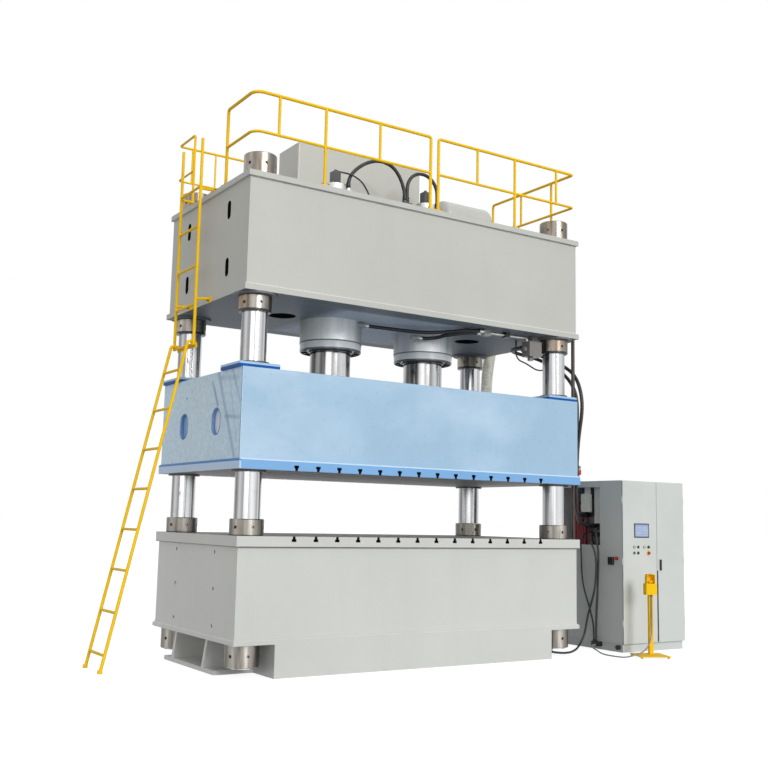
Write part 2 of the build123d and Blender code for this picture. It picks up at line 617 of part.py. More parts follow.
def guide_plates():
    """A corner plate on the slide round each column."""
    plates = []
    for x, y in CORNERS:
        side = 1 if x > 0 else -1
        span = GUIDE_PLATE_FRONT if y < 0 else GUIDE_PLATE_BACK
        ends = (side * GUIDE_PLATE_INNER_X, side * GUIDE_PLATE_OUTER_X)
        plate = block(ends, span, (SLIDE_TOP, SLIDE_TOP + GUIDE_PLATE_THICKNESS))
        plate = chamfer(edges_at(plate, SLIDE_TOP + GUIDE_PLATE_THICKNESS), GUIDE_PLATE_CHAMFER)
        plates.append(plate - post(x, y, SLIDE_TOP, SLIDE_TOP + GUIDE_PLATE_THICKNESS, BUSH_R + FIT))
    return gather(plates)


def guide_bushes():
    """Flanged bushes that guide the slide on the columns, one above and one below at each."""
    top = SLIDE_TOP + GUIDE_PLATE_THICKNESS
    bushes = []
    for x, y in CORNERS:
        upper = post(x, y, top - BUSH_LENGTH, top, BUSH_R)
        upper += post(x, y, top, top + BUSH_FLANGE_HEIGHT, BUSH_FLANGE_R)
        lower = post(x, y, PLATEN_BOTTOM, PLATEN_BOTTOM + BUSH_LENGTH, BUSH_R)
        lower += post(x, y, PLATEN_BOTTOM - LOWER_BUSH_FLANGE_HEIGHT, PLATEN_BOTTOM, LOWER_BUSH_FLANGE_R)
        for bush in (upper, lower):
            bushes.append(bush - post(x, y, 0, CROWN_TOP, COLUMN_R + FIT))
    return gather(bushes)


# Columns, nuts and cylinders

def columns():
    top = CROWN_TOP + NUT_HEIGHT_CROWN_TOP
    shafts = []
    for x, y in CORNERS:
        shaft = post(x, y, COLUMN_FOOT, top, COLUMN_R)
        shafts.append(chamfer(edges_at(shaft, top), NUT_CHAMFER))
    return gather(shafts)


def nut(x, y, low, high):
    """A round nut with holes round its middle for a bar."""
    body = post(x, y, low, high, NUT_R)
    body = chamfer(edges_at(body, low) + edges_at(body, high), NUT_CHAMFER)
    body -= post(x, y, low, high, COLUMN_R + FIT)
    middle = (low + high) / 2
    for i in range(NUT_HOLES):
        angle = radians(NUT_FIRST_HOLE + 360 / NUT_HOLES * i)
        out, depth = NUT_R + 1, NUT_R - NUT_HOLE_DEPTH
        outer = (x + out * cos(angle), y + out * sin(angle), middle)
        inner = (x + depth * cos(angle), y + depth * sin(angle), middle)
        body -= bar(inner, outer, NUT_HOLE_R)
    return body


def crown_nuts():
    seat = CROWN_BOTTOM - SEAT_HEIGHT
    over = [nut(x, y, CROWN_TOP, CROWN_TOP + NUT_HEIGHT_CROWN_TOP) for x, y in CORNERS]
    under = [nut(x, y, seat - NUT_HEIGHT_CROWN_UNDER, seat) for x, y in CORNERS]
    return gather(over + under)


def base_nuts():
    over = [nut(x, y, BOLSTER_TOP, BOLSTER_TOP + NUT_HEIGHT_BASE_TOP) for x, y in CORNERS]
    under = [nut(x, y, FOOT_BOX_HEIGHT - NUT_HEIGHT_BASE_UNDER, FOOT_BOX_HEIGHT) for x, y in CORNERS]
    return gather(over + under)


def cylinders():
    """Two barrels through the crown, closed at the top."""
    barrels = []
    for side in (-1, 1):
        x = side * CYLINDER_X
        barrel = post(x, 0, BARREL_BOTTOM, CROWN_TOP + BARREL_ABOVE_CROWN, BARREL_R)
        barrels.append(barrel - post(x, 0, BARREL_BOTTOM, BARREL_BOTTOM + BORE_HEIGHT, BORE_R))
    return gather(barrels)


def gland_rings():
    """Rings that close the barrels' lower ends, each with a recess for its bolt heads."""
    rings = []
    for side in (-1, 1):
        x = side * CYLINDER_X
        ring = post(x, 0, GLAND_BOTTOM, BARREL_BOTTOM, GLAND_R)
        ring = chamfer(edges_at(ring, GLAND_BOTTOM), NUT_CHAMFER)
        ring -= post(x, 0, GLAND_BOTTOM, GLAND_BOTTOM + GLAND_RECESS, GLAND_R - GLAND_LIP) - \
            post(x, 0, GLAND_BOTTOM, GLAND_BOTTOM + GLAND_RECESS, ROD_R + GLAND_LIP)
        rings.append(ring - post(x, 0, GLAND_BOTTOM, BARREL_BOTTOM, ROD_R + FIT))
    return gather(rings)


def piston_rods():
    """Each rod stands on the slide and carries its piston inside the barrel."""
    rods = []
    for side in (-1, 1):
        x = side * CYLINDER_X
        rod = post(x, 0, SLIDE_TOP, SLIDE_TOP + ROD_LENGTH, ROD_R)
        rods.append(rod + post(x, 0, SLIDE_TOP + ROD_LENGTH - PISTON_HEIGHT, SLIDE_TOP + ROD_LENGTH, BORE_R - FIT))
    return gather(rods)


def frame_bolts():
    """Hexagon heads under the glands and on the upper ladder's brackets."""
    bolts = []
    seat = GLAND_BOTTOM + GLAND_RECESS
    for side in (-1, 1):
        for i in range(GLAND_BOLT_COUNT):
            angle = radians(360 / GLAND_BOLT_COUNT * (i + 0.5))
            x = side * CYLINDER_X + GLAND_BOLT_CIRCLE_R * cos(angle)
            y = GLAND_BOLT_CIRCLE_R * sin(angle)
            bolts.append(hexagon(x, y, seat - GLAND_BOLT_HEAD, seat, GLAND_BOLT_R))
    plate_top = CROWN_TOP + BRACKET_PLATE_THICKNESS
    for y in UPPER_LADDER_Y:
        for across in (-1, 1):
            bolt_y = y + across * (LADDER_TUBE_R + BOLT_R + 2)
            bolts.append(hexagon(top_bracket_x(), bolt_y, plate_top, plate_top + BOLT_HEAD, BOLT_R))
    return gather(bolts)


# Equipment on the crown

def cylinder_heads():
    """Caps that screw on the barrels and bear on the crown, with the prefill valves above them."""
    heads = []
    for side in (-1, 1):
        x = side * CYLINDER_X
        head = post(x, 0, CROWN_TOP, HEAD_TOP, HEAD_R)
        head = chamfer(edges_at(head, HEAD_TOP), NUT_CHAMFER)
        head += post(x, 0, HEAD_TOP, NECK_TOP, HEAD_NECK_R)
        head += post(x, 0, NECK_TOP, PREFILL_TOP, PREFILL_R)
        port = block(around(x, SUCTION_R + 20), (0, SUCTION_PORT), around(SUCTION_Z, SUCTION_R + 10))
        head += port & block(around(x, HEAD_R), (0, SUCTION_PORT), (HEAD_TOP, NECK_TOP))
        port_x = x + HOSE_PORT_X
        head += block((x, port_x + HOSE_COLLAR_R + 4), around(0, HOSE_COLLAR_R + 4), HOSE_PORT_Z)
        head += post(port_x, 0, HOSE_PORT_Z[1], VALVE_HOSE_SEAT, HOSE_COLLAR_R)
        heads.append(head - post(x, 0, CROWN_TOP, CROWN_TOP + BARREL_ABOVE_CROWN, BARREL_R + FIT))
    return gather(heads)


def valve_units():
    """A slim valve on each prefill valve, with a flat base and a cable cap on top."""
    units = []
    for side in (-1, 1):
        x = side * CYLINDER_X
        half = VALVE_WIDTH / 2
        top = PREFILL_TOP + VALVE_HEIGHT
        body = block(around(x, half), around(0, half), (PREFILL_TOP, top))
        body = chamfer(edges_at(body, top), NUT_CHAMFER)
        body += block(around(x, VALVE_CAP), around(0, VALVE_CAP), (top, top + VALVE_CAP_HEIGHT))
        body += block((x + VALVE_BASE_X[0], x + VALVE_BASE_X[1]), around(0, VALVE_BASE_Y),
                      (PREFILL_TOP, PREFILL_TOP + VALVE_BASE_HEIGHT))
        units.append(body)
    return gather(units)


def oil_tank():
    """A sheet tank with a cover plate, a filler breather and two suction pipes."""
    top = CROWN_TOP + TANK_HEIGHT
    tank = block((-TANK_X, TANK_X), TANK_Y, (CROWN_TOP, top))
    tank = fillet(tank.edges().filter_by(Axis.Z), 20)
    inner = block(around(0, TANK_X - TANK_WALL), (TANK_Y[0] + TANK_WALL, TANK_Y[1] - TANK_WALL),
                  (CROWN_TOP + TANK_WALL, top - TANK_WALL))
    tank -= inner
    middle = (TANK_Y[0] + TANK_Y[1]) / 2
    tank += block(around(300, 220), around(middle, 170), (top, top + 12))
    tank += post(-500, middle, top, top + 60, 40)
    tank += post(-500, middle, top + 60, top + 110, 62)
    for side in (-1, 1):
        x = side * CYLINDER_X
        tank += bar((x, SUCTION_PORT, SUCTION_Z), (x, TANK_Y[0] + 1, SUCTION_Z), SUCTION_R)
    return tank


def pressure_vessel():
    """A lying vessel with domed ends on two saddles."""
    half = (VESSEL_X[1] - VESSEL_X[0]) / 2
    side = half - VESSEL_DOME
    dome_r = (VESSEL_R ** 2 + VESSEL_DOME ** 2) / (2 * VESSEL_DOME)
    half_turn = asin(VESSEL_R / dome_r) / 2
    middle_x, middle_y = half - dome_r + dome_r * cos(half_turn), dome_r * sin(half_turn)
    outline = [ThreePointArc((half, 0), (middle_x, middle_y), (side, VESSEL_R)),
               Line((side, VESSEL_R), (-side, VESSEL_R)),
               ThreePointArc((-side, VESSEL_R), (-middle_x, middle_y), (-half, 0)),
               Line((-half, 0), (half, 0))]
    body = revolve(make_face(Wire(outline)), Axis.X, 360)
    rims = [edge for edge in body.edges() if edge.geom_type == GeomType.CIRCLE and edge.radius > VESSEL_R - 1]
    body = Pos((VESSEL_X[0] + VESSEL_X[1]) / 2, VESSEL_Y, VESSEL_Z) * fillet(rims, VESSEL_KNUCKLE)
    for x in SADDLE_X:
        saddle = block(around(x, SADDLE_THICKNESS / 2), around(VESSEL_Y, VESSEL_R * 0.8), (CROWN_TOP, VESSEL_Z))
        cut = bar((x - 50, VESSEL_Y, VESSEL_Z), (x + 50, VESSEL_Y, VESSEL_Z), VESSEL_R - 5)
        body += saddle - cut
    return body


def pipe_block():
    """A block on the right cylinder's head where the two valve hoses meet."""
    block_top = HOSE_PORT_Z[1]
    body = block(PIPE_BLOCK_X, PIPE_BLOCK_Y, (HEAD_TOP, block_top))
    return body + [post(x, y, block_top, VALVE_HOSE_SEAT, HOSE_COLLAR_R) for x, y in PIPE_BLOCK_PORTS]


# Pipes under and beside the crown

def under_crown_blocks():
    """The valve block and the hose junction hung under the crown, and the fittings on the barrels."""
    middle_x = sum(UNDER_BLOCK_X) / 2
    body = block(UNDER_BLOCK_X, UNDER_BLOCK_Y, UNDER_BLOCK_Z)
    body += block(around(middle_x + 25, 45), around(-820, 40), (UNDER_BLOCK_Z[1], CROWN_BOTTOM))
    body += post(1680, -820, UNDER_BLOCK_Z[0] - 45, UNDER_BLOCK_Z[0], 34)
    body += bar((UNDER_BLOCK_X[0], -830, 3640), (UNDER_BLOCK_X[0] - 45, -830, 3640), 30)
    junction = block(JUNCTION_X, JUNCTION_Y, JUNCTION_Z)
    left = bar((-500, -300, 3772), (-402, -300, 3772), FITTING_R)
    left -= post(-CYLINDER_X, 0, BARREL_BOTTOM, CROWN_BOTTOM, BARREL_R)
    right = bar((390, -186, 3698), (236, -380, 3698), FITTING_R - 3)
    right += bar((214, -380, 3698), (300, -380, 3698), FITTING_R)
    right -= post(CYLINDER_X, 0, BARREL_BOTTOM, CROWN_BOTTOM, BARREL_R)
    return gather([body, junction, left, right])


def steel_pipes():
    """The rigid pipe under the crown and the long drop pipe at its right end."""
    under = tube_along([(JUNCTION_X[1], UNDER_PIPE_Y, UNDER_PIPE_Z), (UNDER_PIPE_END_X, UNDER_PIPE_Y, UNDER_PIPE_Z),
                        (UNDER_PIPE_END_X, UNDER_PIPE_Y, UNDER_BLOCK_Z[1])], 36, UNDER_PIPE_R)
    drop = tube_along([
        (CROWN_X, DROP_PIPE_Y, DROP_PIPE_TOP), (DROP_PIPE_X, DROP_PIPE_Y, DROP_PIPE_TOP),
        (DROP_PIPE_X, DROP_PIPE_Y, DROP_PIPE_LOW), (DROP_PIPE_X, DROP_PIPE_BACK_Y, DROP_PIPE_LOW),
        (RESERVOIR_X[0], DROP_PIPE_BACK_Y, DROP_PIPE_LOW)], [60, DROP_PIPE_BEND, DROP_PIPE_BEND], DROP_PIPE_R)
    return gather([under, drop])


def pipe_clamps():
    """Clamps that hold the rigid pipes to the crown and the base, and the corrugated hose's lug on the crown."""
    clamps = []
    for z in (CROWN_FLANGE_TOP + 150, CROWN_FLANGE_TOP + 600):
        clamps.append(block((CROWN_X, DROP_PIPE_X + CLAMP_REACH), around(DROP_PIPE_Y, CLAMP_REACH),
                            around(z, CLAMP_HEIGHT / 2)))
    clamps.append(block((BASE_X, DROP_PIPE_X + CLAMP_REACH), around(DROP_PIPE_Y, CLAMP_REACH),
                        around(BASE_TOP - 96, CLAMP_HEIGHT / 2)))
    clamps = [clamp - post(DROP_PIPE_X, DROP_PIPE_Y, 0, CROWN_TOP, DROP_PIPE_R) for clamp in clamps]
    bridge = block(around(1287, CLAMP_WIDTH / 2), around(UNDER_PIPE_Y, 40), (UNDER_PIPE_Z - 30, CROWN_BOTTOM))
    clamps.append(bridge - bar((1200, UNDER_PIPE_Y, UNDER_PIPE_Z), (1400, UNDER_PIPE_Y, UNDER_PIPE_Z), UNDER_PIPE_R))
    top = Vector(*CONDUIT_TOP)
    clamps.append(block((CROWN_X, top.X + CONDUIT_R), around(top.Y, CONDUIT_R), (top.Z, top.Z + CONDUIT_LUG)))
    return gather(clamps)


def corrugated_hose():
    """The corrugated hose behind the right back column, as a plain leaning tube of its outer size."""
    top, foot = Vector(*CONDUIT_TOP), Vector(*CONDUIT_FOOT)
    return loft([Pos(foot) * Circle(CONDUIT_R), Pos(top) * Circle(CONDUIT_R)], ruled=True)


# Handrails and ladders

def rail_path(plan, high):
    """The middle rail's route over a plan, or the top rail's, which starts and ends on the crown."""
    level = [(x, y, high) for x, y in plan]
    if high == RAIL_MID:
        return level
    foot = CROWN_TOP + FOOT_PAD_THICKNESS
    return [(*plan[0], foot)] + level + [(*plan[-1], foot)]


def foot_pad(x, y):
    """A post's foot plate, longer along its rail."""
    half_x, half_y = FOOT_PAD_LENGTH / 2, FOOT_PAD_WIDTH / 2
    if abs(x) == RAIL_X:
        half_x, half_y = half_y, half_x
    return block(around(x, half_x), around(y, half_y), (CROWN_TOP, CROWN_TOP + FOOT_PAD_THICKNESS))


def handrail(plan, full_posts, short_posts, corner, rail_r=RAIL_R, upright_r=UPRIGHT_R):
    """One handrail: a top rail bent down into its end posts, a middle rail, and uprights between."""
    rail = tube_along(rail_path(plan, RAIL_TOP), [RAIL_END_BEND, corner, RAIL_END_BEND], rail_r)
    rail += tube_along(rail_path(plan, RAIL_MID), corner, upright_r)
    rail += [post(x, y, CROWN_TOP, RAIL_TOP, POST_R) for x, y in full_posts]
    rail += [post(x, y, RAIL_MID, RAIL_TOP, upright_r) for x, y in short_posts]
    return rail + [foot_pad(x, y) for x, y in [plan[0], plan[-1]] + full_posts]


def handrail_front_left():
    plan = [(-RAIL_X, -360), (-RAIL_X, -RAIL_Y), (13, -RAIL_Y)]
    return handrail(plan, [(-1366, -RAIL_Y)], [(-1923, -RAIL_Y), (-675, -RAIL_Y)], RAIL_WIDE_BEND)


def handrail_front_right():
    plan = [(122, -RAIL_Y), (RAIL_X, -RAIL_Y), (RAIL_X, 571)]
    return handrail(plan, [(1260, -RAIL_Y), (RAIL_X, -610)], [(690, -RAIL_Y), (1926, -RAIL_Y), (RAIL_X, -20)],
                    RAIL_TIGHT_BEND)


def handrail_back_left():
    plan = [(-RAIL_X, 550), (-RAIL_X, RAIL_Y), (-1100, RAIL_Y)]
    return handrail(plan, [], [(-2050, RAIL_Y), (-1752, RAIL_Y)], RAIL_TIGHT_BEND, THIN_RAIL_R, THIN_UPRIGHT_R)


def top_bracket_x():
    """The middle of the upper ladder's plates, at the edge of the crown's top plate."""
    return -(CROWN_X + CROWN_OVERHANG_X - BRACKET_PLATE / 2 - 5)


def ladder_upper():
    low, high = UPPER_LADDER_Z
    ladder = Part()
    for y in UPPER_LADDER_Y:
        ladder += post(UPPER_LADDER_X, y, low, high, LADDER_TUBE_R)
    for z in UPPER_RUNGS:
        ladder += bar((UPPER_LADDER_X, UPPER_LADDER_Y[0], z), (UPPER_LADDER_X, UPPER_LADDER_Y[1], z), RUNG_R)
    plate_x = top_bracket_x()
    flange_x = -CROWN_X - CROWN_OVERHANG_X
    arm_z = CROWN_TOP + BRACKET_PLATE_THICKNESS + RUNG_R - 2
    for y in UPPER_LADDER_Y:
        ladder += block(around(plate_x, BRACKET_PLATE / 2), around(y, BRACKET_PLATE_LENGTH / 2),
                        (CROWN_TOP, CROWN_TOP + BRACKET_PLATE_THICKNESS))
        ladder += bar((UPPER_LADDER_X, y, arm_z), (plate_x + 20, y, arm_z), RUNG_R)
        low_y = y - LOWER_BRACKET_SPLAY
        arm = bar((UPPER_LADDER_X, y, LOWER_BRACKET_Z), (flange_x - 2, low_y, LOWER_BRACKET_Z), RUNG_R)
        ladder += arm - block((flange_x, flange_x + 4 * RUNG_R), around(low_y, 4 * RUNG_R),
                              around(LOWER_BRACKET_Z, 2 * RUNG_R))
        ladder += block((flange_x - BRACKET_PLATE_THICKNESS, flange_x), around(low_y, BRACKET_PLATE / 2),
                        (CROWN_BOTTOM, CROWN_FLANGE_TOP))
    return ladder


def ladder_lower():
    """A leaning ladder whose stiles bend over the upper ladder's last rung."""
    hook_z = UPPER_RUNGS[0] + RUNG_R + LADDER_TUBE_R + FIT
    bend_x = LOWER_LADDER_FOOT_X + LOWER_LADDER_SLOPE * hook_z
    tip_z = hook_z - LADDER_HOOK_DROP
    ladder = Part()
    for y in LOWER_LADDER_Y:
        stile = [(LOWER_LADDER_FOOT_X + LOWER_LADDER_SLOPE * LADDER_START, y, LADDER_START), (bend_x, y, hook_z),
                 (LADDER_HOOK_END, y, hook_z), (LADDER_HOOK_END, y, tip_z)]
        ladder += tube_along(stile, 32, LADDER_TUBE_R)
        ladder += post(LOWER_LADDER_FOOT_X, y, 0, LADDER_FOOT_HEIGHT, LADDER_FOOT_R)
    for z in LOWER_RUNGS:
        x = LOWER_LADDER_FOOT_X + LOWER_LADDER_SLOPE * z
        ladder += bar((x, LOWER_LADDER_Y[0], z), (x, LOWER_LADDER_Y[1], z), RUNG_R)
    tip_y = (LOWER_LADDER_Y[0], LOWER_LADDER_Y[1])
    return ladder + bar((LADDER_HOOK_END, tip_y[0], tip_z + 20), (LADDER_HOOK_END, tip_y[1], tip_z + 20), RUNG_R)


# Cabinet

DOOR_BACK = CABINET_Y[0] - DOOR_SEAT
DOOR_FRONT = DOOR_BACK - DOOR_DEPTH
DOOR_Z = (PLINTH_HEIGHT + DOOR_MARGIN, CABINET_HEIGHT - DOOR_MARGIN)
HINGE_Y = DOOR_BACK - DOOR_DEPTH / 2


def cabinet_shell():
    """Sheet walls on a plinth, an inner partition, an open side window and the hinge pins."""
    left, right = CABINET_X
    front, back = CABINET_Y
    shell = block(CABINET_X, CABINET_Y, (PLINTH_HEIGHT, CABINET_HEIGHT))
    shell -= block((left + SHEET, right - SHEET), (front + SHEET, back - SHEET),
                   (PLINTH_HEIGHT + SHEET, CABINET_HEIGHT - SHEET))
    shell -= block((left + FRAME_LIP, right - FRAME_LIP), (front - 1, front + SHEET),
                   (PLINTH_HEIGHT + FRAME_LIP, CABINET_HEIGHT - FRAME_LIP))
    plinth = block((left + PLINTH_INSET, right - PLINTH_INSET), (front + PLINTH_INSET, back - PLINTH_INSET),
                   (0, PLINTH_HEIGHT))
    hollow = PLINTH_INSET + SHEET
    plinth -= block((left + hollow, right - hollow), (front + hollow, back - hollow), (-1, PLINTH_HEIGHT - SHEET))
    shell += plinth
    shell -= block((left - 1, left + SHEET + 1), SIDE_WINDOW_Y, SIDE_WINDOW_Z)
    shell += block((left + SHEET / 2, right - SHEET / 2), (PARTITION_Y - SHEET, PARTITION_Y),
                   (PLINTH_HEIGHT + SHEET / 2, CABINET_HEIGHT - SHEET / 2))
    shell -= bar((left - 1, DROP_PIPE_BACK_Y, DROP_PIPE_LOW), (left + SHEET + 1, DROP_PIPE_BACK_Y, DROP_PIPE_LOW),
                 DROP_PIPE_R + FIT)
    for side, x in ((-1, left), (1, right)):
        for z in HINGE_HEIGHTS:
            shell += shell_knuckle(side, x, z)
    return shell


def shell_knuckle(side, x, z):
    """A hinge's lower half with its pin, on a strap down the cabinet's side."""
    axis_x = x + side * HINGE_OFFSET
    knuckle = post(axis_x, HINGE_Y, z - HINGE_KNUCKLE, z, HINGE_R)
    knuckle += post(axis_x, HINGE_Y, z, z + HINGE_KNUCKLE, HINGE_PIN_R)
    strap = block((x, x + side * 3), (HINGE_Y, CABINET_Y[0] + 25), (z - HINGE_KNUCKLE, z))
    return knuckle + strap


def door_panel(side, x_hinge, x_free):
    """A folded sheet door with its upper hinge halves; side is -1 for the left door."""
    door = block((x_hinge, x_free), (DOOR_FRONT, DOOR_BACK), DOOR_Z)
    door = fillet(door.edges().filter_by(Axis.Z).group_by(Axis.Y)[0], 4)
    low, high = sorted((x_hinge, x_free))
    door -= block((low + DOOR_SHEET, high - DOOR_SHEET), (DOOR_FRONT + DOOR_SHEET, DOOR_BACK),
                  (DOOR_Z[0] + DOOR_SHEET, DOOR_Z[1] - DOOR_SHEET))
    axis_x = (CABINET_X[0] if side < 0 else CABINET_X[1]) + side * HINGE_OFFSET
    for z in HINGE_HEIGHTS:
        bottom, top = z + 1, z + HINGE_KNUCKLE
        knuckle = post(axis_x, HINGE_Y, bottom, top, HINGE_R)
        knuckle += block((axis_x, x_hinge), around(HINGE_Y, 1.5), (bottom, top))
        door += knuckle - post(axis_x, HINGE_Y, bottom - 1, top + 1, HINGE_PIN_R + FIT)
    return door


def cabinet_door_left():
    door = door_panel(-1, CABINET_X[0] + 1, DOOR_SPLIT - DOOR_GAP / 2)
    margin = PANEL_CUT_MARGIN
    door -= block((PANEL_X[0] + margin, PANEL_X[1] - margin), (DOOR_FRONT - 1, DOOR_FRONT + DOOR_SHEET + 1),
                  (PANEL_Z[0] + margin, PANEL_Z[1] - margin))
    for x, z in button_places():
        door += bar((x, DOOR_FRONT, z), (x, DOOR_FRONT - COLLAR_HEIGHT, z), COLLAR_R) - \
            bar((x, DOOR_FRONT, z), (x, DOOR_FRONT - COLLAR_HEIGHT, z), BUTTON_R + BUTTON_HOLE_CLEARANCE)
        door -= bar((x, DOOR_FRONT - 1, z), (x, DOOR_FRONT + DOOR_SHEET + 1, z),
                    BUTTON_STEM_R + BUTTON_HOLE_CLEARANCE)
    stop_x = BUTTON_X[3]
    door -= bar((stop_x, DOOR_FRONT - 1, LOWER_ROW_Z), (stop_x, DOOR_FRONT + DOOR_SHEET + 1, LOWER_ROW_Z),
                BUTTON_STEM_R + BUTTON_HOLE_CLEARANCE)
    return door


def button_places():
    """Middles of the collared devices on the door: four above and two below."""
    return [(x, UPPER_ROW_Z) for x in BUTTON_X] + [(x, LOWER_ROW_Z) for x in BUTTON_X[:2]]


def cabinet_door_right():
    door = door_panel(1, CABINET_X[1] - 1, DOOR_SPLIT + DOOR_GAP / 2)
    pivot_z = HANDLE_Z[1] - HANDLE_PIVOT_DROP
    return door - bar((HANDLE_X, DOOR_FRONT - 1, pivot_z), (HANDLE_X, DOOR_FRONT + DOOR_SHEET + 1, pivot_z),
                      HANDLE_SHAFT_R + FIT)


def door_handle():
    """A swing handle that turns on a shaft through the door and carries its latch cam."""
    half = HANDLE_WIDTH / 2
    pivot_z = HANDLE_Z[1] - HANDLE_PIVOT_DROP
    lever = block(around(HANDLE_X, half), (DOOR_FRONT - 4 - HANDLE_THICKNESS, DOOR_FRONT - 4), HANDLE_Z)
    lever = fillet(lever.edges().filter_by(Axis.Y), half * 0.6)
    shaft = bar((HANDLE_X, DOOR_FRONT - 4, pivot_z), (HANDLE_X, DOOR_BACK, pivot_z), HANDLE_SHAFT_R)
    cam_y = DOOR_FRONT + DOOR_SHEET + 1
    cam = block(around(HANDLE_X, CAM_WIDTH / 2), (cam_y, cam_y + CAM_THICKNESS), (pivot_z - CAM_REACH, pivot_z + 10))
    return lever + shaft + cam


def operating_panel():
    """The screen unit: a bezel with a sunk screen and a housing behind the door."""
    face = DOOR_FRONT - PANEL_BEZEL
    bezel = block(PANEL_X, (face, DOOR_FRONT), PANEL_Z)
    bezel = chamfer(bezel.edges().group_by(Axis.Y)[0], 3)
    frame = PANEL_FRAME
    bezel -= block((PANEL_X[0] + frame, PANEL_X[1] - frame), (face, face + 3), (PANEL_Z[0] + frame, PANEL_Z[1] - frame))
    margin = PANEL_CUT_MARGIN + 1
    return bezel + block((PANEL_X[0] + margin, PANEL_X[1] - margin), (DOOR_FRONT, DOOR_FRONT + PANEL_DEPTH),
                         (PANEL_Z[0] + margin, PANEL_Z[1] - margin))


def push_button(x, z):
    """A round cap standing in its collar, on a stem through the door."""
    back = DOOR_FRONT - BUTTON_STAND
    cap = bar((x, back, z), (x, back - BUTTON_CAP, z), BUTTON_R)
    cap = chamfer(cap.edges().group_by(Axis.Y)[0], 2)
    return cap + bar((x, back, z), (x, back + BUTTON_STEM_LENGTH, z), BUTTON_STEM_R)


def selector_switch():
    """A knob with a grip bar across it."""
    x, z = BUTTON_X[3], UPPER_ROW_Z
    knob = push_button(x, z)
    face = DOOR_FRONT - BUTTON_STAND - BUTTON_CAP
    return knob + block(around(x, 3.5), (face - 9, face), around(z, BUTTON_R - 2))


def stop_button():
    """A mushroom head on its stem."""
    x, z = BUTTON_X[3], LOWER_ROW_Z
    back = DOOR_FRONT - 3 - BUTTON_STAND - 2
    head = bar((x, back, z), (x, back - 14, z), STOP_HEAD_R)
    head = fillet(head.edges().group_by(Axis.Y)[0], 6)
    neck_end = DOOR_FRONT - 3 - BUTTON_STAND
    head += bar((x, neck_end, z), (x, back, z), BUTTON_R)
    return head + bar((x, neck_end, z), (x, neck_end + BUTTON_STEM_LENGTH, z), BUTTON_STEM_R)


def panel_fittings():
    """The two lamps in their collars and the stop button's backing plate."""
    lamps = []
    for x in (BUTTON_X[0], BUTTON_X[2]):
        lamp = bar((x, DOOR_FRONT, UPPER_ROW_Z), (x, DOOR_FRONT - BUTTON_CAP - 2, UPPER_ROW_Z), BUTTON_R)
        lamp = fillet(lamp.edges().group_by(Axis.Y)[0], 4)
        lamps.append(lamp)
    x = BUTTON_X[3]
    plate = bar((x, DOOR_FRONT, LOWER_ROW_Z), (x, DOOR_FRONT - 3, LOWER_ROW_Z), STOP_PLATE_R)
    plate -= bar((x, DOOR_FRONT, LOWER_ROW_Z), (x, DOOR_FRONT - 3, LOWER_ROW_Z), BUTTON_STEM_R + 1)
    return gather(lamps + [plate])


def wall_fittings():
    """On the side wall: the main switch's housing, the cable gland block and the cable socket."""
    wall = CABINET_X[0]
    housing = block((wall - SWITCH_DEPTH, wall), SWITCH_Y, SWITCH_Z)
    housing = chamfer(housing.edges().group_by(Axis.X)[0], 6)
    base = bar((wall, SWITCH_KNOB_Y, SWITCH_KNOB_Z), (wall - 12, SWITCH_KNOB_Y, SWITCH_KNOB_Z), SWITCH_KNOB_R + 5)
    glands = block((wall - GLAND_BLOCK_DEPTH, wall + PLINTH_INSET), GLAND_BLOCK_Y, GLAND_BLOCK_Z)
    socket = bar((wall + PLINTH_INSET, SOCKET_Y, SOCKET_Z), (wall - 30, SOCKET_Y, SOCKET_Z), 28)
    return gather([housing, base, glands, socket])


def main_switch():
    """A small lever knob that turns on its base."""
    wall = CABINET_X[0] - 12 - FIT
    knob = bar((wall, SWITCH_KNOB_Y, SWITCH_KNOB_Z), (wall - 14, SWITCH_KNOB_Y, SWITCH_KNOB_Z), SWITCH_KNOB_R)
    return knob + block((wall - 26, wall - 14), around(SWITCH_KNOB_Y, 5), around(SWITCH_KNOB_Z, SWITCH_KNOB_R + 4))


def signal_lamp():
    """A pole on the roof with a red and a green lens."""
    lamp = post(LAMP_X, LAMP_Y, CABINET_HEIGHT, CABINET_HEIGHT + 8, 35)
    lamp += post(LAMP_X, LAMP_Y, CABINET_HEIGHT + 8, CABINET_HEIGHT + 90, 12)
    lamp += post(LAMP_X, LAMP_Y, CABINET_HEIGHT + 90, CABINET_HEIGHT + 155, 30)
    lamp += post(LAMP_X, LAMP_Y, CABINET_HEIGHT + 155, CABINET_HEIGHT + 165, 25)
    cap_top = CABINET_HEIGHT + 212
    lens = fillet(edges_at(post(LAMP_X, LAMP_Y, CABINET_HEIGHT + 165, cap_top, 24), cap_top), 10)
    return lamp + lens


# Pump unit

def motor_pump_set():
    """The oil reservoir with the motor and its pump lying on the lid."""
    floor = PLINTH_HEIGHT + SHEET
    unit = block(RESERVOIR_X, RESERVOIR_Y, (floor, RESERVOIR_TOP))
    unit -= block((RESERVOIR_X[0] + 6, RESERVOIR_X[1] - 6), (RESERVOIR_Y[0] + 6, RESERVOIR_Y[1] - 6),
                  (floor + 6, RESERVOIR_TOP - 12))
    z = RESERVOIR_TOP + MOTOR_R + 20
    unit += bar((MOTOR_X[0], MOTOR_Y, z), (MOTOR_X[1], MOTOR_Y, z), MOTOR_R)
    unit += block((MOTOR_X[0] + 50, MOTOR_X[1] - 60), around(MOTOR_Y, 120), (RESERVOIR_TOP, z))
    unit += block((MOTOR_X[0] + 120, MOTOR_X[1] - 120), around(MOTOR_Y, 60), (z, z + MOTOR_R + 50))
    return unit + bar((PUMP_X, MOTOR_Y, z), (MOTOR_X[0], MOTOR_Y, z), PUMP_R)


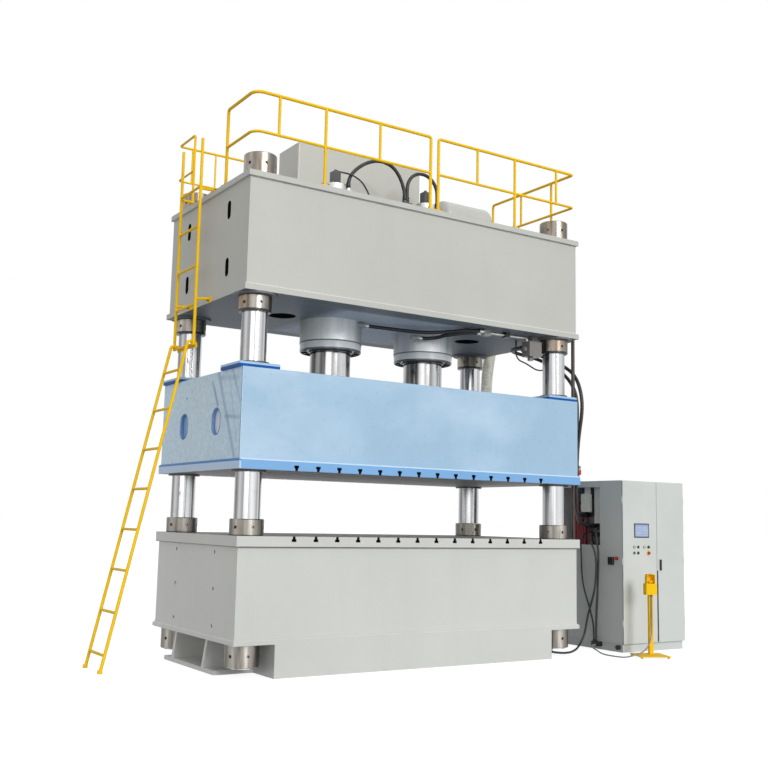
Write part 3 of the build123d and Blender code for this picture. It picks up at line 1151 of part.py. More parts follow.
def manifold():
    """The valve manifold on the reservoir's lid, with solenoid valves on its window side."""
    body = block(MANIFOLD_X, MANIFOLD_Y, (RESERVOIR_TOP, MANIFOLD_TOP))
    for z in (1020, 1130, 1240):
        body += block((MANIFOLD_X[0] - 70, MANIFOLD_X[0]), (MANIFOLD_Y[0] + 60, MANIFOLD_Y[1] - 60), around(z, 30))
    return body


def terminal_box():
    """The cream box hung behind the window, with a round knob, and the cable duct beside it."""
    roof = CABINET_HEIGHT - SHEET
    box = block(TERMINAL_X, TERMINAL_Y, TERMINAL_Z)
    box = fillet(box.edges().filter_by(Axis.X), 8)
    box += block((TERMINAL_X[1] - TERMINAL_HANGER, TERMINAL_X[1]), (TERMINAL_Y[0] + 20, TERMINAL_Y[1] - 20),
                 (TERMINAL_Z[1] - 20, roof))
    middle_y = sum(TERMINAL_Y) / 2
    knob_z = TERMINAL_Z[1] - 60
    box += bar((TERMINAL_X[0] - 16, middle_y, knob_z), (TERMINAL_X[0], middle_y, knob_z), 20)
    return gather([box, block(DUCT_X, DUCT_Y, (DUCT_BOTTOM, roof))])


# Pedestal

def turned(shape):
    """Places a piece of the pedestal, which stands turned towards the operator."""
    return Pos(PEDESTAL_X, PEDESTAL_Y, 0) * Rot(0, 0, PEDESTAL_TURN) * shape


def pedestal_stand():
    top = PEDESTAL_PAD_HEIGHT + PEDESTAL_BASE_THICKNESS
    stand = block(PEDESTAL_BASE_X, PEDESTAL_BASE_Y, (PEDESTAL_PAD_HEIGHT, top))
    for x in PEDESTAL_BASE_X:
        for y in PEDESTAL_BASE_Y:
            inset = PEDESTAL_PAD_R + 4
            pad_x = x + inset if x < 0 else x - inset
            pad_y = y + inset if y < 0 else y - inset
            stand += post(pad_x, pad_y, 0, PEDESTAL_PAD_HEIGHT, PEDESTAL_PAD_R)
    half = PEDESTAL_POST / 2
    stand += block((-half, half), (-half, half), (top, PEDESTAL_POST_TOP))
    return turned(stand)


def pedestal_box():
    """The switch box with an arched hood over its palm button."""
    top = PEDESTAL_POST_TOP + PEDESTAL_BOX_HEIGHT
    box = block(around(0, PEDESTAL_BOX_X), around(0, PEDESTAL_BOX_Y), (PEDESTAL_POST_TOP, top))
    box = fillet(box.edges().filter_by(Axis.Z), 14)
    hood_top = top + PEDESTAL_HOOD_HEIGHT
    hood = block(around(0, PEDESTAL_HOOD_X), around(0, PEDESTAL_HOOD_Y), (top, hood_top))
    hood = fillet(edges_at(hood, hood_top).filter_by(Axis.Y), 30)
    wall = PEDESTAL_HOOD_WALL
    cut = block(around(0, PEDESTAL_HOOD_X - wall), (-PEDESTAL_HOOD_Y, PEDESTAL_HOOD_Y - wall), (top, hood_top - wall))
    cut = fillet(edges_at(cut, hood_top - wall).filter_by(Axis.Y), 30 - wall)
    box += hood - cut
    box -= post(0, -10, top - 12, top, BUTTON_STEM_R + FIT)
    return turned(box)


def pedestal_button():
    top = PEDESTAL_POST_TOP + PEDESTAL_BOX_HEIGHT
    palm = post(0, -10, top + 14, top + 34, PALM_R)
    palm = fillet(edges_at(palm, top + 34), 12)
    return turned(palm + post(0, -10, top - 2, top + 14, BUTTON_STEM_R))


# Hoses and cables

def cord(name, diameter, points):
    """A free hose or cable: straight runs joined by arcs as large as the runs allow."""
    points = [Vector(*point) for point in points]
    radii = []
    for before, here, after in zip(points, points[1:], points[2:]):
        turn = (here - before).get_angle(after - here)
        reach = 0.45 * min((here - before).length, (after - here).length)
        radii.append(reach / tan(radians(turn) / 2))
    path = FilletPolyline(*points, radius=radii)
    print(f"{name}: length {path.length:.0f}, smallest bend {min(radii):.0f} or {min(radii) / diameter:.1f} diameters")
    return sweep((path ^ 0) * Circle(diameter / 2), path=path)


def build():
    os.makedirs("parts", exist_ok=True)
    pieces = {
        "base_beam": base_beam(),
        "bolster_plate": bolster_plate(),
        "crown_beam": crown_beam(),
        "slide_beam": slide_beam(),
        "slide_platen": slide_platen(),
        "guide_plates": guide_plates(),
        "guide_bushes": guide_bushes(),
        "columns": columns(),
        "crown_nuts": crown_nuts(),
        "base_nuts": base_nuts(),
        "cylinders": cylinders(),
        "gland_rings": gland_rings(),
        "piston_rods": piston_rods(),
        "frame_bolts": frame_bolts(),
        "cylinder_heads": cylinder_heads(),
        "valve_units": valve_units(),
        "oil_tank": oil_tank(),
        "pressure_vessel": pressure_vessel(),
        "pipe_block": pipe_block(),
        "under_crown_blocks": under_crown_blocks(),
        "steel_pipes": steel_pipes(),
        "pipe_clamps": pipe_clamps(),
        "corrugated_hose": corrugated_hose(),
        "handrail_front_left": handrail_front_left(),
        "handrail_front_right": handrail_front_right(),
        "handrail_back_left": handrail_back_left(),
        "ladder_upper": ladder_upper(),
        "ladder_lower": ladder_lower(),
        "cabinet_shell": cabinet_shell(),
        "cabinet_door_left": cabinet_door_left(),
        "cabinet_door_right": cabinet_door_right(),
        "door_handle": door_handle(),
        "operating_panel": operating_panel(),
        "panel_fittings": panel_fittings(),
        "button_upper": push_button(BUTTON_X[1], UPPER_ROW_Z),
        "button_green": push_button(BUTTON_X[0], LOWER_ROW_Z),
        "button_lower": push_button(BUTTON_X[1], LOWER_ROW_Z),
        "selector_switch": selector_switch(),
        "stop_button": stop_button(),
        "wall_fittings": wall_fittings(),
        "main_switch": main_switch(),
        "signal_lamp": signal_lamp(),
        "motor_pump_set": motor_pump_set(),
        "manifold": manifold(),
        "terminal_box": terminal_box(),
        "pedestal_stand": pedestal_stand(),
        "pedestal_box": pedestal_box(),
        "pedestal_button": pedestal_button(),
    }
    for name, shape in pieces.items():
        save(name, shape)
    for name, (diameter, points) in CORDS.items():
        save(name, cord(name, diameter, points))


build()
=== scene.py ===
import math
import random

import bmesh
import bpy
from mathutils import Matrix, Vector


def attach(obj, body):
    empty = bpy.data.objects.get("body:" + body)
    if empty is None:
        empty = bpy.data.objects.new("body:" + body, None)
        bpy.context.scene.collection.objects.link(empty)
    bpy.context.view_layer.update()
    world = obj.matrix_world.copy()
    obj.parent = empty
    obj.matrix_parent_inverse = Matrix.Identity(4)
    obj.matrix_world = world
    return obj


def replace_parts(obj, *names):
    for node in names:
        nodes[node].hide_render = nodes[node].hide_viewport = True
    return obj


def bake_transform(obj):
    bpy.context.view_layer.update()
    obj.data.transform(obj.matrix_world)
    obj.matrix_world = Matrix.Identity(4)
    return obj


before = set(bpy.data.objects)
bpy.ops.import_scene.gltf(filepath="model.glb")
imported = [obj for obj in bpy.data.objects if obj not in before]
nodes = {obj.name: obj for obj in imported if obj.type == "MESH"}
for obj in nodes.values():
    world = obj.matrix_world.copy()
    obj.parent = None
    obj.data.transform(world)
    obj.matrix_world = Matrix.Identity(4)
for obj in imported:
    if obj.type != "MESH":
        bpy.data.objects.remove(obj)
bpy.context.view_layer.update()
random.seed(11)

# Everything is in metres, except where a comment says millimetres.

# Sizes shared with the part
BASE_TOP = 1.261
BOLSTER_TOP = 1.37
PLATEN_BOTTOM = 2.02
PLATEN_TOP = 2.126
SLIDE_TOP = 3.033
CROWN_BOTTOM = 3.809
CROWN_FLANGE_TOP = 3.87
CROWN_BODY_TOP = 4.989
CROWN_TOP = 5.048
BASE_FLANGE_TOP = 0.381
SLIDE_X = 2.241
DOOR_FRONT = -1.0455
CABINET_TOP = 2.11

# Camera
EYE = (-6.545, -10.231, 1.546)
AZIMUTH = math.radians(32.9919)
ELEVATION = math.radians(7.5587)
ROLL = math.radians(-1.2305)
LENS = 48.235
SENSOR = 36.0

# Materials: the roughness of all noise, the turn of a bevel's normal that counts as an edge, how far the
# bands of painted reflection on a shaft wander, and the roughness from which a zone of paint loses its shine
NOISE_ROUGHNESS = 0.55
EDGE_TURN = (0.995, 0.8)
BAND_WOBBLE = 0.02
DULL = 0.5

# Small parts
WASHER = 0.003
FOOT_PAD = 0.012
INNER_PIPE_R = 0.013
WELD_STEP = 0.018


# Meshes

class Shape:
    """Collects simple forms into one mesh."""

    def __init__(self):
        self.mesh = bmesh.new()

    def skirt(self, low, high):
        """Faces between two rings of as many points, or between a ring and a single point."""
        count = max(len(low), len(high))
        for i in range(count):
            j = (i + 1) % count
            if len(low) == 1:
                face = [low[0], high[j], high[i]]
            elif len(high) == 1:
                face = [low[i], low[j], high[0]]
            else:
                face = [low[i], low[j], high[j], high[i]]
            self.mesh.faces.new(face)

    def caps(self, first, last):
        """Faces over the first and the last ring, unless a ring is a single point."""
        if len(first) > 1:
            self.mesh.faces.new(list(reversed(first)))
        if len(last) > 1:
            self.mesh.faces.new(last)

    def lathe(self, profile, origin, axis=(0, 0, 1), segments=28, closed=False):
        """Turns (radius, height) pairs round an axis. A radius of 0 closes an end."""
        axis = Vector(axis).normalized()
        turn = Vector((0, 0, 1)).rotation_difference(axis).to_matrix().to_4x4()
        place = Matrix.Translation(Vector(origin)) @ turn
        rings = []
        for radius, height in profile:
            if radius == 0:
                rings.append([self.mesh.verts.new(place @ Vector((0, 0, height)))])
                continue
            ring = []
            for i in range(segments):
                angle = 2 * math.pi * i / segments
                spot = Vector((radius * math.cos(angle), radius * math.sin(angle), height))
                ring.append(self.mesh.verts.new(place @ spot))
            rings.append(ring)
        pairs = list(zip(rings, rings[1:]))
        if closed:
            pairs.append((rings[-1], rings[0]))
        for low, high in pairs:
            self.skirt(low, high)
        if not closed:
            self.caps(rings[0], rings[-1])
        return self

    def box(self, low, high, bevel):
        """A box between two corners, with bevelled edges unless the bevel is 0."""
        low, high = Vector(low), Vector(high)
        size = high - low
        made = bmesh.ops.create_cube(self.mesh, size=1.0)
        place = Matrix.Translation((low + high) / 2) @ Matrix.Diagonal((*size, 1.0))
        bmesh.ops.transform(self.mesh, matrix=place, verts=made["verts"])
        if bevel:
            edges = set(edge for vert in made["verts"] for edge in vert.link_edges)
            offset = min(bevel, min(size) * 0.45)
            bmesh.ops.bevel(self.mesh, geom=list(edges), offset=offset, segments=2, affect="EDGES",
                            profile=0.6)
        return self

    def slab(self, outline, origin, across, up, depth):
        """A flat plate from an outline of (across, up) pairs, extruded by depth along across x up."""
        across, up, origin = Vector(across), Vector(up), Vector(origin)
        out = across.cross(up) * depth
        low = [self.mesh.verts.new(origin + across * a + up * b) for a, b in outline]
        high = [self.mesh.verts.new(vert.co + out) for vert in low]
        self.skirt(low, high)
        self.caps(low, high)
        return self

    def band(self, outer, inner, origin, across, up, depth):
        """A flat ring between two outlines of as many points, extruded by depth."""
        across, up, origin = Vector(across), Vector(up), Vector(origin)
        out = across.cross(up) * depth
        rings = [[self.mesh.verts.new(origin + across * a + up * b + shift) for a, b in outline]
                 for outline, shift in ((outer, out * 0), (outer, out), (inner, out), (inner, out * 0))]
        for low, high in zip(rings, rings[1:] + rings[:1]):
            self.skirt(low, high)
        return self

    def tube(self, points, radii, segments):
        """A round tube through points, with a radius for each point."""
        points = [Vector(point) for point in points]
        normal = None
        rings = []
        for i, point in enumerate(points):
            along = (points[min(i + 1, len(points) - 1)] - points[max(i - 1, 0)]).normalized()
            if normal is None:
                normal = along.orthogonal().normalized()
            normal = (normal - along * normal.dot(along)).normalized()
            side = along.cross(normal)
            rings.append([self.mesh.verts.new(point + (normal * math.cos(a) + side * math.sin(a)) * radii[i])
                          for a in (2 * math.pi * k / segments for k in range(segments))])
        for low, high in zip(rings, rings[1:]):
            self.skirt(low, high)
        self.caps(rings[0], rings[-1])
        return self

    def bolt(self, origin, axis, across, height):
        """A hexagon head with a chamfered top, on a washer."""
        self.lathe([(across * 0.62, 0), (across * 0.62, WASHER), (across * 0.2, WASHER)], origin, axis, 16)
        radius = across / 2 / math.cos(math.pi / 6)
        self.lathe([(radius, WASHER), (radius, WASHER + height * 0.8), (radius * 0.84, WASHER + height),
                    (0, WASHER + height)], origin, axis, 6)

    def done(self, name, material, body="frame", slot=None, angle=35):
        """Makes the object with its material; it rides on its body, or on none when no body is given."""
        bmesh.ops.remove_doubles(self.mesh, verts=self.mesh.verts, dist=1e-6)
        bmesh.ops.recalc_face_normals(self.mesh, faces=self.mesh.faces)
        data = bpy.data.meshes.new(name)
        self.mesh.to_mesh(data)
        self.mesh.free()
        data.shade_smooth()
        data.set_sharp_from_angle(angle=math.radians(angle))
        piece = bpy.data.objects.new(name, data)
        bpy.context.scene.collection.objects.link(piece)
        data.materials.append(material)
        if body:
            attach(piece, body)
        return piece


# Materials

class Finish:
    """A node material with short names for the nodes it is built from."""

    def __init__(self, name, rough, metallic=0.0, coat=0.0):
        self.material = bpy.data.materials.new(name)
        self.material.use_nodes = True
        self.tree = self.material.node_tree
        self.bsdf = self.tree.nodes["Principled BSDF"]
        self.put(self.bsdf.inputs["Roughness"], rough)
        self.put(self.bsdf.inputs["Metallic"], metallic)
        self.put(self.bsdf.inputs["Coat Weight"], coat)
        self.put(self.bsdf.inputs["Coat Roughness"], 0.12)
        coords = self.node("TexCoord")
        self.place = coords.outputs["Object"]
        self.normal = coords.outputs["Normal"]

    def node(self, kind):
        """A new node of one kind."""
        return self.tree.nodes.new("ShaderNode" + kind)

    def put(self, socket, value):
        """Links a node's output to a socket, or sets the socket to a number or a colour."""
        if isinstance(value, bpy.types.NodeSocket):
            self.tree.links.new(value, socket)
        elif isinstance(value, (tuple, list)) and len(value) == 3 and socket.type == "RGBA":
            socket.default_value = (*value, 1)
        else:
            socket.default_value = value

    def scaled(self, stretch):
        """The place with each axis scaled, so that a texture comes out drawn along the small ones."""
        mapping = self.node("Mapping")
        self.put(mapping.inputs["Vector"], self.place)
        self.put(mapping.inputs["Scale"], stretch)
        return mapping.outputs["Vector"]

    def noise(self, scale, detail, stretch=(1, 1, 1)):
        """Cloudy noise from 0 to 1."""
        node = self.node("TexNoise")
        self.put(node.inputs["Vector"], self.scaled(stretch))
        self.put(node.inputs["Scale"], scale)
        self.put(node.inputs["Detail"], detail)
        self.put(node.inputs["Roughness"], NOISE_ROUGHNESS)
        return node.outputs["Fac"]

    def cells(self, scale):
        """The distance to the middle of the nearest cell."""
        node = self.node("TexVoronoi")
        self.put(node.inputs["Vector"], self.scaled((1, 1, 1)))
        self.put(node.inputs["Scale"], scale)
        return node.outputs["Distance"]

    def fit(self, value, low, high, to_low=0.0, to_high=1.0):
        """Maps the span from low to high onto another span, without going past it."""
        node = self.node("MapRange")
        for socket, number in zip(node.inputs, (value, low, high, to_low, to_high)):
            self.put(socket, number)
        return node.outputs["Result"]

    def math(self, kind, a, b=0.5, clamp=False):
        """One step of arithmetic."""
        node = self.node("Math")
        node.operation = kind
        node.use_clamp = clamp
        self.put(node.inputs[0], a)
        self.put(node.inputs[1], b)
        return node.outputs[0]

    def mix(self, share, a, b, kind="MIX"):
        """Mixes two colours; a share of 1 gives the second one."""
        node = self.node("Mix")
        node.data_type = "RGBA"
        node.blend_type = kind
        self.put(node.inputs["Factor"], share)
        self.put(node.inputs[6], a)
        self.put(node.inputs[7], b)
        return node.outputs[2]

    def part(self, vector, which):
        """One part of the place or of the normal, 0 for X, 1 for Y and 2 for Z."""
        node = self.node("SeparateXYZ")
        self.put(node.inputs[0], vector)
        return node.outputs[which]

    def between(self, which, low, high, soft=0.0006):
        """1 where one coordinate lies between two values."""
        place = self.part(self.place, which)
        above = self.fit(place, low - soft, low + soft)
        return self.math("MULTIPLY", above, self.fit(place, high + soft, high - soft))

    def zone(self, limits):
        """1 inside the limits: a low and a high value, and perhaps a softness, for each axis that matters."""
        mask = 1.0
        for which, span in limits.items():
            mask = self.math("MULTIPLY", self.between(which, *span), mask)
        return mask

    def stroke(self, first, second, width):
        """1 along a line between two (y, z) places, fading to its sides."""
        (y0, z0), (y1, z1) = first, second
        span_y, span_z = y1 - y0, z1 - z0
        y = self.math("SUBTRACT", self.part(self.place, 1), y0)
        z = self.math("SUBTRACT", self.part(self.place, 2), z0)
        dot = self.math("ADD", self.math("MULTIPLY", y, span_y), self.math("MULTIPLY", z, span_z))
        along = self.math("DIVIDE", dot, span_y ** 2 + span_z ** 2, clamp=True)
        off_y = self.math("SUBTRACT", y, self.math("MULTIPLY", along, span_y))
        off_z = self.math("SUBTRACT", z, self.math("MULTIPLY", along, span_z))
        square = self.math("ADD", self.math("MULTIPLY", off_y, off_y), self.math("MULTIPLY", off_z, off_z))
        return self.fit(self.math("SQRT", square), width, width * 0.2)

    def ramp(self, value, stops):
        """A grey that runs through (place, brightness) stops."""
        node = self.node("ValToRGB")
        self.put(node.inputs["Fac"], value)
        marks = node.color_ramp.elements
        while len(marks) < len(stops):
            marks.new(0.5)
        for mark, (place, grey) in zip(marks, stops):
            mark.position = place
            mark.color = (grey, grey, grey, 1)
        return node.outputs["Color"]

    def reflection_bands(self, stops):
        """Painted reflections: bright and dark bands up a round shaft, which repeat at half a turn."""
        angle = self.math("ARCTAN2", self.part(self.normal, 1), self.part(self.normal, 0))
        turn = self.math("FRACT", self.math("ADD", self.math("DIVIDE", angle, math.pi), 1.0))
        shift = self.fit(self.noise(1.3, 2.0), 0.2, 0.8, -BAND_WOBBLE, BAND_WOBBLE)
        return self.ramp(self.math("ADD", turn, shift), stops)

    def edges(self, radius):
        """1 close to an edge or corner and 0 on an open face."""
        bevel = self.node("Bevel")
        bevel.samples = 4
        self.put(bevel.inputs["Radius"], radius)
        geometry = self.node("NewGeometry")
        dot = self.node("VectorMath")
        dot.operation = "DOT_PRODUCT"
        self.put(dot.inputs[0], bevel.outputs["Normal"])
        self.put(dot.inputs[1], geometry.outputs["True Normal"])
        return self.fit(dot.outputs["Value"], *EDGE_TURN)

    def bump(self, height, depth, strength, after=None):
        """Raises the surface by a texture, on top of an earlier bump if one is given."""
        node = self.node("Bump")
        self.put(node.inputs["Distance"], depth)
        self.put(node.inputs["Strength"], strength)
        self.put(node.inputs["Height"], height)
        if after is not None:
            self.put(node.inputs["Normal"], after)
        self.put(self.bsdf.inputs["Normal"], node.outputs["Normal"])
        return node.outputs["Normal"]

    def colour(self, value):
        self.put(self.bsdf.inputs["Base Color"], value)

    def rough(self, value):
        self.put(self.bsdf.inputs["Roughness"], value)


def shade(colour, amount):
    """A colour made lighter or darker."""
    return tuple(min(1.0, c * amount) for c in colour)


def paint(name, colour, rough=0.38, dirt=0.1, edge=None, edge_share=0.35, grain=70.0, coat=0.25, patch=0.7,
          shine=0.5, cloud=None, zones=(), reflection_streaks=(), reflection_streak_limits=None):
    """Gloss paint on plate with broad tone changes, runs, dust, orange peel and darker edges, which are worn
    paint and, on the blue parts, painted shade lines.

    Zones differ in tone from the rest, and several are painted light and shade. The streaks along lines are
    painted dark reflections in the edge colour.
    """
    f = Finish(name, rough, 0.0, coat)
    broad = f.noise(patch, 4.0)
    runs = f.noise(5.0, 5.0, (1, 1, 0.1))
    dust = f.noise(22.0, 6.0)
    tone = f.mix(f.fit(broad, 0.3, 0.7), shade(colour, 0.955), shade(colour, 1.035))
    tone = f.mix(f.fit(runs, 0.52, 0.78, 0.0, dirt), tone, shade(colour, 0.72))
    tone = f.mix(f.fit(dust, 0.6, 0.8, 0.0, dirt * 0.8), tone, shade(colour, 0.6))
    if cloud:
        tone = f.mix(f.fit(f.noise(0.8, 5.0, (1, 1, 1.5)), 0.46, 0.66, 0.0, 0.8), tone, cloud)
    # Darker edges and corners: worn paint, and on the slide and guide plates painted shade lines in deep blue
    if edge:
        near = f.math("MULTIPLY", f.edges(0.006), f.fit(dust, 0.35, 0.65, 0.4, 1.0))
        tone = f.mix(f.math("MULTIPLY", near, edge_share), tone, edge)
    gloss = f.fit(dust, 0.3, 0.7, rough - 0.06, rough + 0.1)
    for limits, zone_colour, zone_rough in zones:
        mask = f.zone(limits)
        tone = f.mix(mask, tone, f.mix(f.fit(dust, 0.35, 0.7), zone_colour, shade(zone_colour, 0.8)))
        gloss = f.mix(mask, gloss, (zone_rough,) * 3)
        if zone_rough >= DULL:
            shine = f.math("MULTIPLY", f.fit(mask, 0.0, 1.0, 1.0, 0.3), shine)
    # Painted dark reflections: streaks along lines, in the edge colour
    for first, second, width, share in reflection_streaks:
        line = f.math("MULTIPLY", f.stroke(first, second, width), f.zone(reflection_streak_limits))
        tone = f.mix(f.math("MULTIPLY", line, f.fit(runs, 0.3, 0.7, share * 0.5, share)), tone, edge)
    f.put(f.bsdf.inputs["Specular IOR Level"], shine)
    f.colour(tone)
    f.rough(gloss)
    wavy = f.bump(f.noise(1.6, 2.0), 0.004, 0.35)
    f.bump(f.noise(grain, 3.0), 0.0006, 0.3, wavy)
    return f.material


def steel(name, colour, rough, scale, depth, streak=(1, 1, 0.02), metallic=1.0, bands=None, oil=None,
          zones=()):
    """Turned, ground or drawn steel with fine lines along one way and a few soft stains, and painted
    reflections round a shaft where bands are given.
    """
    f = Finish(name, rough, metallic)
    lines = f.noise(scale, 4.0, streak)
    stain = f.noise(7.0, 6.0)
    tone = f.mix(f.fit(lines, 0.3, 0.7), shade(colour, 1 - depth * 1.6), shade(colour, 1 + depth))
    tone = f.mix(f.fit(stain, 0.55, 0.8, 0.0, 0.35), tone, shade(colour, 0.62))
    if oil:
        tone = f.mix(f.fit(f.noise(5.0, 3.0, (1, 1, 0.35)), 0.45, 0.65, 0.0, 0.7), tone, oil)
    # Painted reflections: bright and dark bands round a shaft
    if bands:
        tone = f.mix(1.0, tone, f.reflection_bands(bands), "MULTIPLY")
    for limits, zone_colour, share in zones:
        mask = f.zone(limits)
        tone = f.mix(mask, tone, f.mix(f.fit(stain, 0.3, 0.7), zone_colour, shade(zone_colour, 0.75)))
        metallic = f.math("MULTIPLY", f.fit(mask, 0.0, 1.0, 1.0, share), metallic)
    f.colour(tone)
    f.put(f.bsdf.inputs["Metallic"], metallic)
    f.rough(f.fit(lines, 0.25, 0.75, rough * 0.75, rough * 1.35))
    f.bump(lines, 0.0004, 0.25)
    return f.material


def two_faced(name, side_colour, face_colour, face_z, slots, half_y, edge, zones):
    """A slotted plate: painted sides, a machined working face, and slots between two heights filled with
    painted shade.
    """
    f = Finish(name, 0.38, 0.0, 0.0)
    face = f.between(2, face_z - 0.001, face_z + 0.001)
    inside = f.zone({0: (-SLOTS_HALF_X, SLOTS_HALF_X), 1: (-half_y + 0.002, half_y - 0.002), 2: slots})
    broad = f.noise(0.9, 4.0)
    dust = f.noise(24.0, 6.0)
    lines = f.noise(90.0, 3.0, (0.02, 1, 1))
    side = f.mix(f.fit(broad, 0.3, 0.7), shade(side_colour, 0.95), shade(side_colour, 1.03))
    side = f.mix(f.fit(dust, 0.58, 0.8, 0.0, 0.1), side, shade(side_colour, 0.6))
    # Darker edges: worn paint, and on the blue platen painted shade lines in deep blue
    side = f.mix(f.math("MULTIPLY", f.edges(0.008), 0.6), side, edge)
    for limits, zone_colour in zones:
        side = f.mix(f.zone(limits), side, zone_colour)
    metal = f.mix(f.fit(lines, 0.3, 0.7), shade(face_colour, 0.82), shade(face_colour, 1.12))
    metal = f.mix(f.fit(dust, 0.5, 0.8, 0.0, 0.3), metal, shade(face_colour, 0.55))
    # Painted shade: the insides of the slots are near black
    f.colour(f.mix(inside, f.mix(face, side, metal), (0.01, 0.01, 0.01)))
    f.put(f.bsdf.inputs["Metallic"], f.math("MULTIPLY", face, 0.5))
    f.put(f.bsdf.inputs["Specular IOR Level"], f.fit(face, 0.0, 1.0, 0.5, 0.1))
    f.rough(f.fit(face, 0.0, 1.0, 0.4, 0.55))
    f.bump(f.mix(face, f.noise(70.0, 3.0), lines), 0.0005, 0.25)
    return f.material


def rubber(name, colour, rough, wrap=0.0):
    """Hose or cable cover: faint cloth-wrap marks along its skin and dusty patches."""
    f = Finish(name, rough)
    dust = f.noise(14.0, 5.0)
    fine = f.noise(420.0, 2.0)
    tone = f.mix(f.fit(dust, 0.45, 0.75, 0.0, 0.5), colour, tuple(c * 0.5 + 0.06 for c in colour))
    f.colour(tone)
    f.rough(f.fit(dust, 0.3, 0.7, rough - 0.08, rough + 0.12))
    cover = f.math("ADD", f.math("MULTIPLY", fine, 0.6), f.math("MULTIPLY", f.cells(900.0), wrap))
    f.bump(cover, 0.0006, 0.5)
    return f.material


def plastic(name, colour, rough, glow=0.0):
    """Moulded plastic: even colour with a faint cloud, a fine grain and small scuffs."""
    f = Finish(name, rough)
    cloud = f.noise(30.0, 4.0)
    tone = f.mix(f.fit(cloud, 0.35, 0.65), shade(colour, 0.93), shade(colour, 1.05))
    f.colour(tone)
    f.rough(f.fit(cloud, 0.3, 0.7, rough - 0.05, rough + 0.08))
    f.bump(f.noise(500.0, 2.0), 0.0002, 0.3)
    if glow:
        f.put(f.bsdf.inputs["Emission Color"], (*colour, 1))
        f.put(f.bsdf.inputs["Emission Strength"], glow)
    return f.material


CROWN_GREY = (0.535, 0.545, 0.51)
BASE_GREY = (0.615, 0.628, 0.602)
SLIDE_BLUE = (0.36, 0.55, 0.73)
DEEP_BLUE = (0.035, 0.14, 0.42)
YELLOW = (1.0, 0.6, 0.001)
CABINET_GREY = (0.625, 0.655, 0.635)
OILY_STEEL = (0.6, 0.565, 0.51)
RUSTY_OIL = (0.3, 0.2, 0.12)
DARK = (0.01, 0.01, 0.01)

# Painted reflections on shafts, nuts and barrels: places round a shaft, as shares of half a turn, with the
# brightness painted there
CHROME_BANDS = [(0.045, 0.24), (0.15, 0.72), (0.239, 0.4), (0.35, 0.74), (0.45, 0.92), (0.528, 0.82),
                (0.584, 0.48), (0.634, 0.8), (0.689, 0.36), (0.756, 0.85), (0.917, 0.55), (1.0, 0.36)]
ROD_BANDS = [(0.045, 0.1), (0.15, 0.4), (0.2, 0.1), (0.28, 0.45), (0.36, 0.55), (0.42, 0.2),
             (0.5, 0.72), (0.6, 0.76), (0.66, 0.2), (0.7, 0.6), (0.756, 0.3), (0.917, 0.55),
             (1.0, 0.16)]
NUT_BANDS = [(0.0, 0.2), (0.167, 0.68), (0.267, 0.3), (0.35, 0.42), (0.43, 0.86), (0.52, 0.52),
             (0.64, 0.26), (0.75, 0.34), (1.0, 0.2)]
CROWN_NUT_BANDS = [(0.0, 0.62), (0.1, 0.6), (0.167, 0.9), (0.22, 0.46), (0.3, 0.5), (0.36, 0.5),
                   (0.43, 0.62), (0.5, 0.6), (0.58, 0.42), (0.66, 0.36), (0.75, 0.4), (1.0, 0.62)]
BARREL_BANDS = [(0.012, 0.62), (0.12, 0.7), (0.212, 0.84), (0.3, 0.88), (0.36, 0.98), (0.42, 0.9),
                (0.482, 1.0), (0.58, 0.88), (0.7, 0.66), (0.817, 0.55), (0.93, 0.52)]

# Places that differ in tone from the rest of their node: a low and a high value, and perhaps a softness,
# on each axis that matters, with 0 for X, 1 for Y and 2 for Z
# Painted shade: the crown's inside, painted near black
HOLLOW = {0: (-2.2335, 2.2335), 1: (-1.0265, 1.0265), 2: (CROWN_BOTTOM + 0.003, CROWN_TOP - 0.003)}
# Painted shade: the crown's underside, painted dark
UNDERSIDE = {2: (CROWN_BOTTOM - 0.03, CROWN_BOTTOM + 0.001)}
# Painted reflection: a pale patch on the crown's underside between the barrels
BETWEEN_BARRELS = {0: (-0.95, 0.7, 0.1), 1: (-0.78, 0.85, 0.05), **UNDERSIDE}
SEATING_RINGS = {2: (3.619, 3.644)}
BARREL_FEET = {2: (3.549, 3.564)}
GLAND_FEET = {2: (3.44, 3.476)}
BLOCKS_AT_BARRELS = {0: (-1.0, 1.05)}
PIPES_PAST_CROWN = {0: (2.0, 3.2)}
# Painted light: the slide's left end, painted paler than the rest to offset the shade on it and stand for its
# sheen
SLIDE_END = {0: (-2.245, -2.236)}
# Painted shade: a deep blue strip on the slide's left end beside its front corner
SLIDE_CORNER = {**SLIDE_END, 1: (-1.034, -1.022)}
# Painted shade: darker blue on the walls of the windows in the slide's left end
WINDOW_WALLS = {0: (-2.2385, -2.195), 1: (-0.62, 0.62), 2: (2.3, 2.8)}
# Painted shade: a deep blue band along the foot of the guide plates, where they meet the slide
GUIDE_PLATE_FEET = {2: (SLIDE_TOP - 0.001, SLIDE_TOP + 0.032)}
# Painted light: the platen's left end, painted paler than its front
PLATEN_END = {0: (-2.27, -2.238)}
# Painted shade: a deep blue line along the top edge of the platen's left end
PLATEN_END_TOP = {**PLATEN_END, 2: (PLATEN_TOP - 0.028, PLATEN_TOP + 0.001)}
# Painted highlight: a near white line along the platen's front top edge
PLATEN_LEDGE = {1: (-1.08, -1.06), 2: (PLATEN_TOP - 0.015, PLATEN_TOP)}
# Painted shadow: a near black line along the bolster's foot on the base
BOLSTER_FOOT = {2: (BASE_TOP - 0.001, BASE_TOP + 0.0065)}

# How far the T-slots reach to either side, and the heights between which each plate's slots are painted near
# black as shade
SLOTS_HALF_X = 1.66
BOLSTER_SLOTS = (1.3155, 1.3685)
PLATEN_SLOTS = (2.0215, 2.0745)

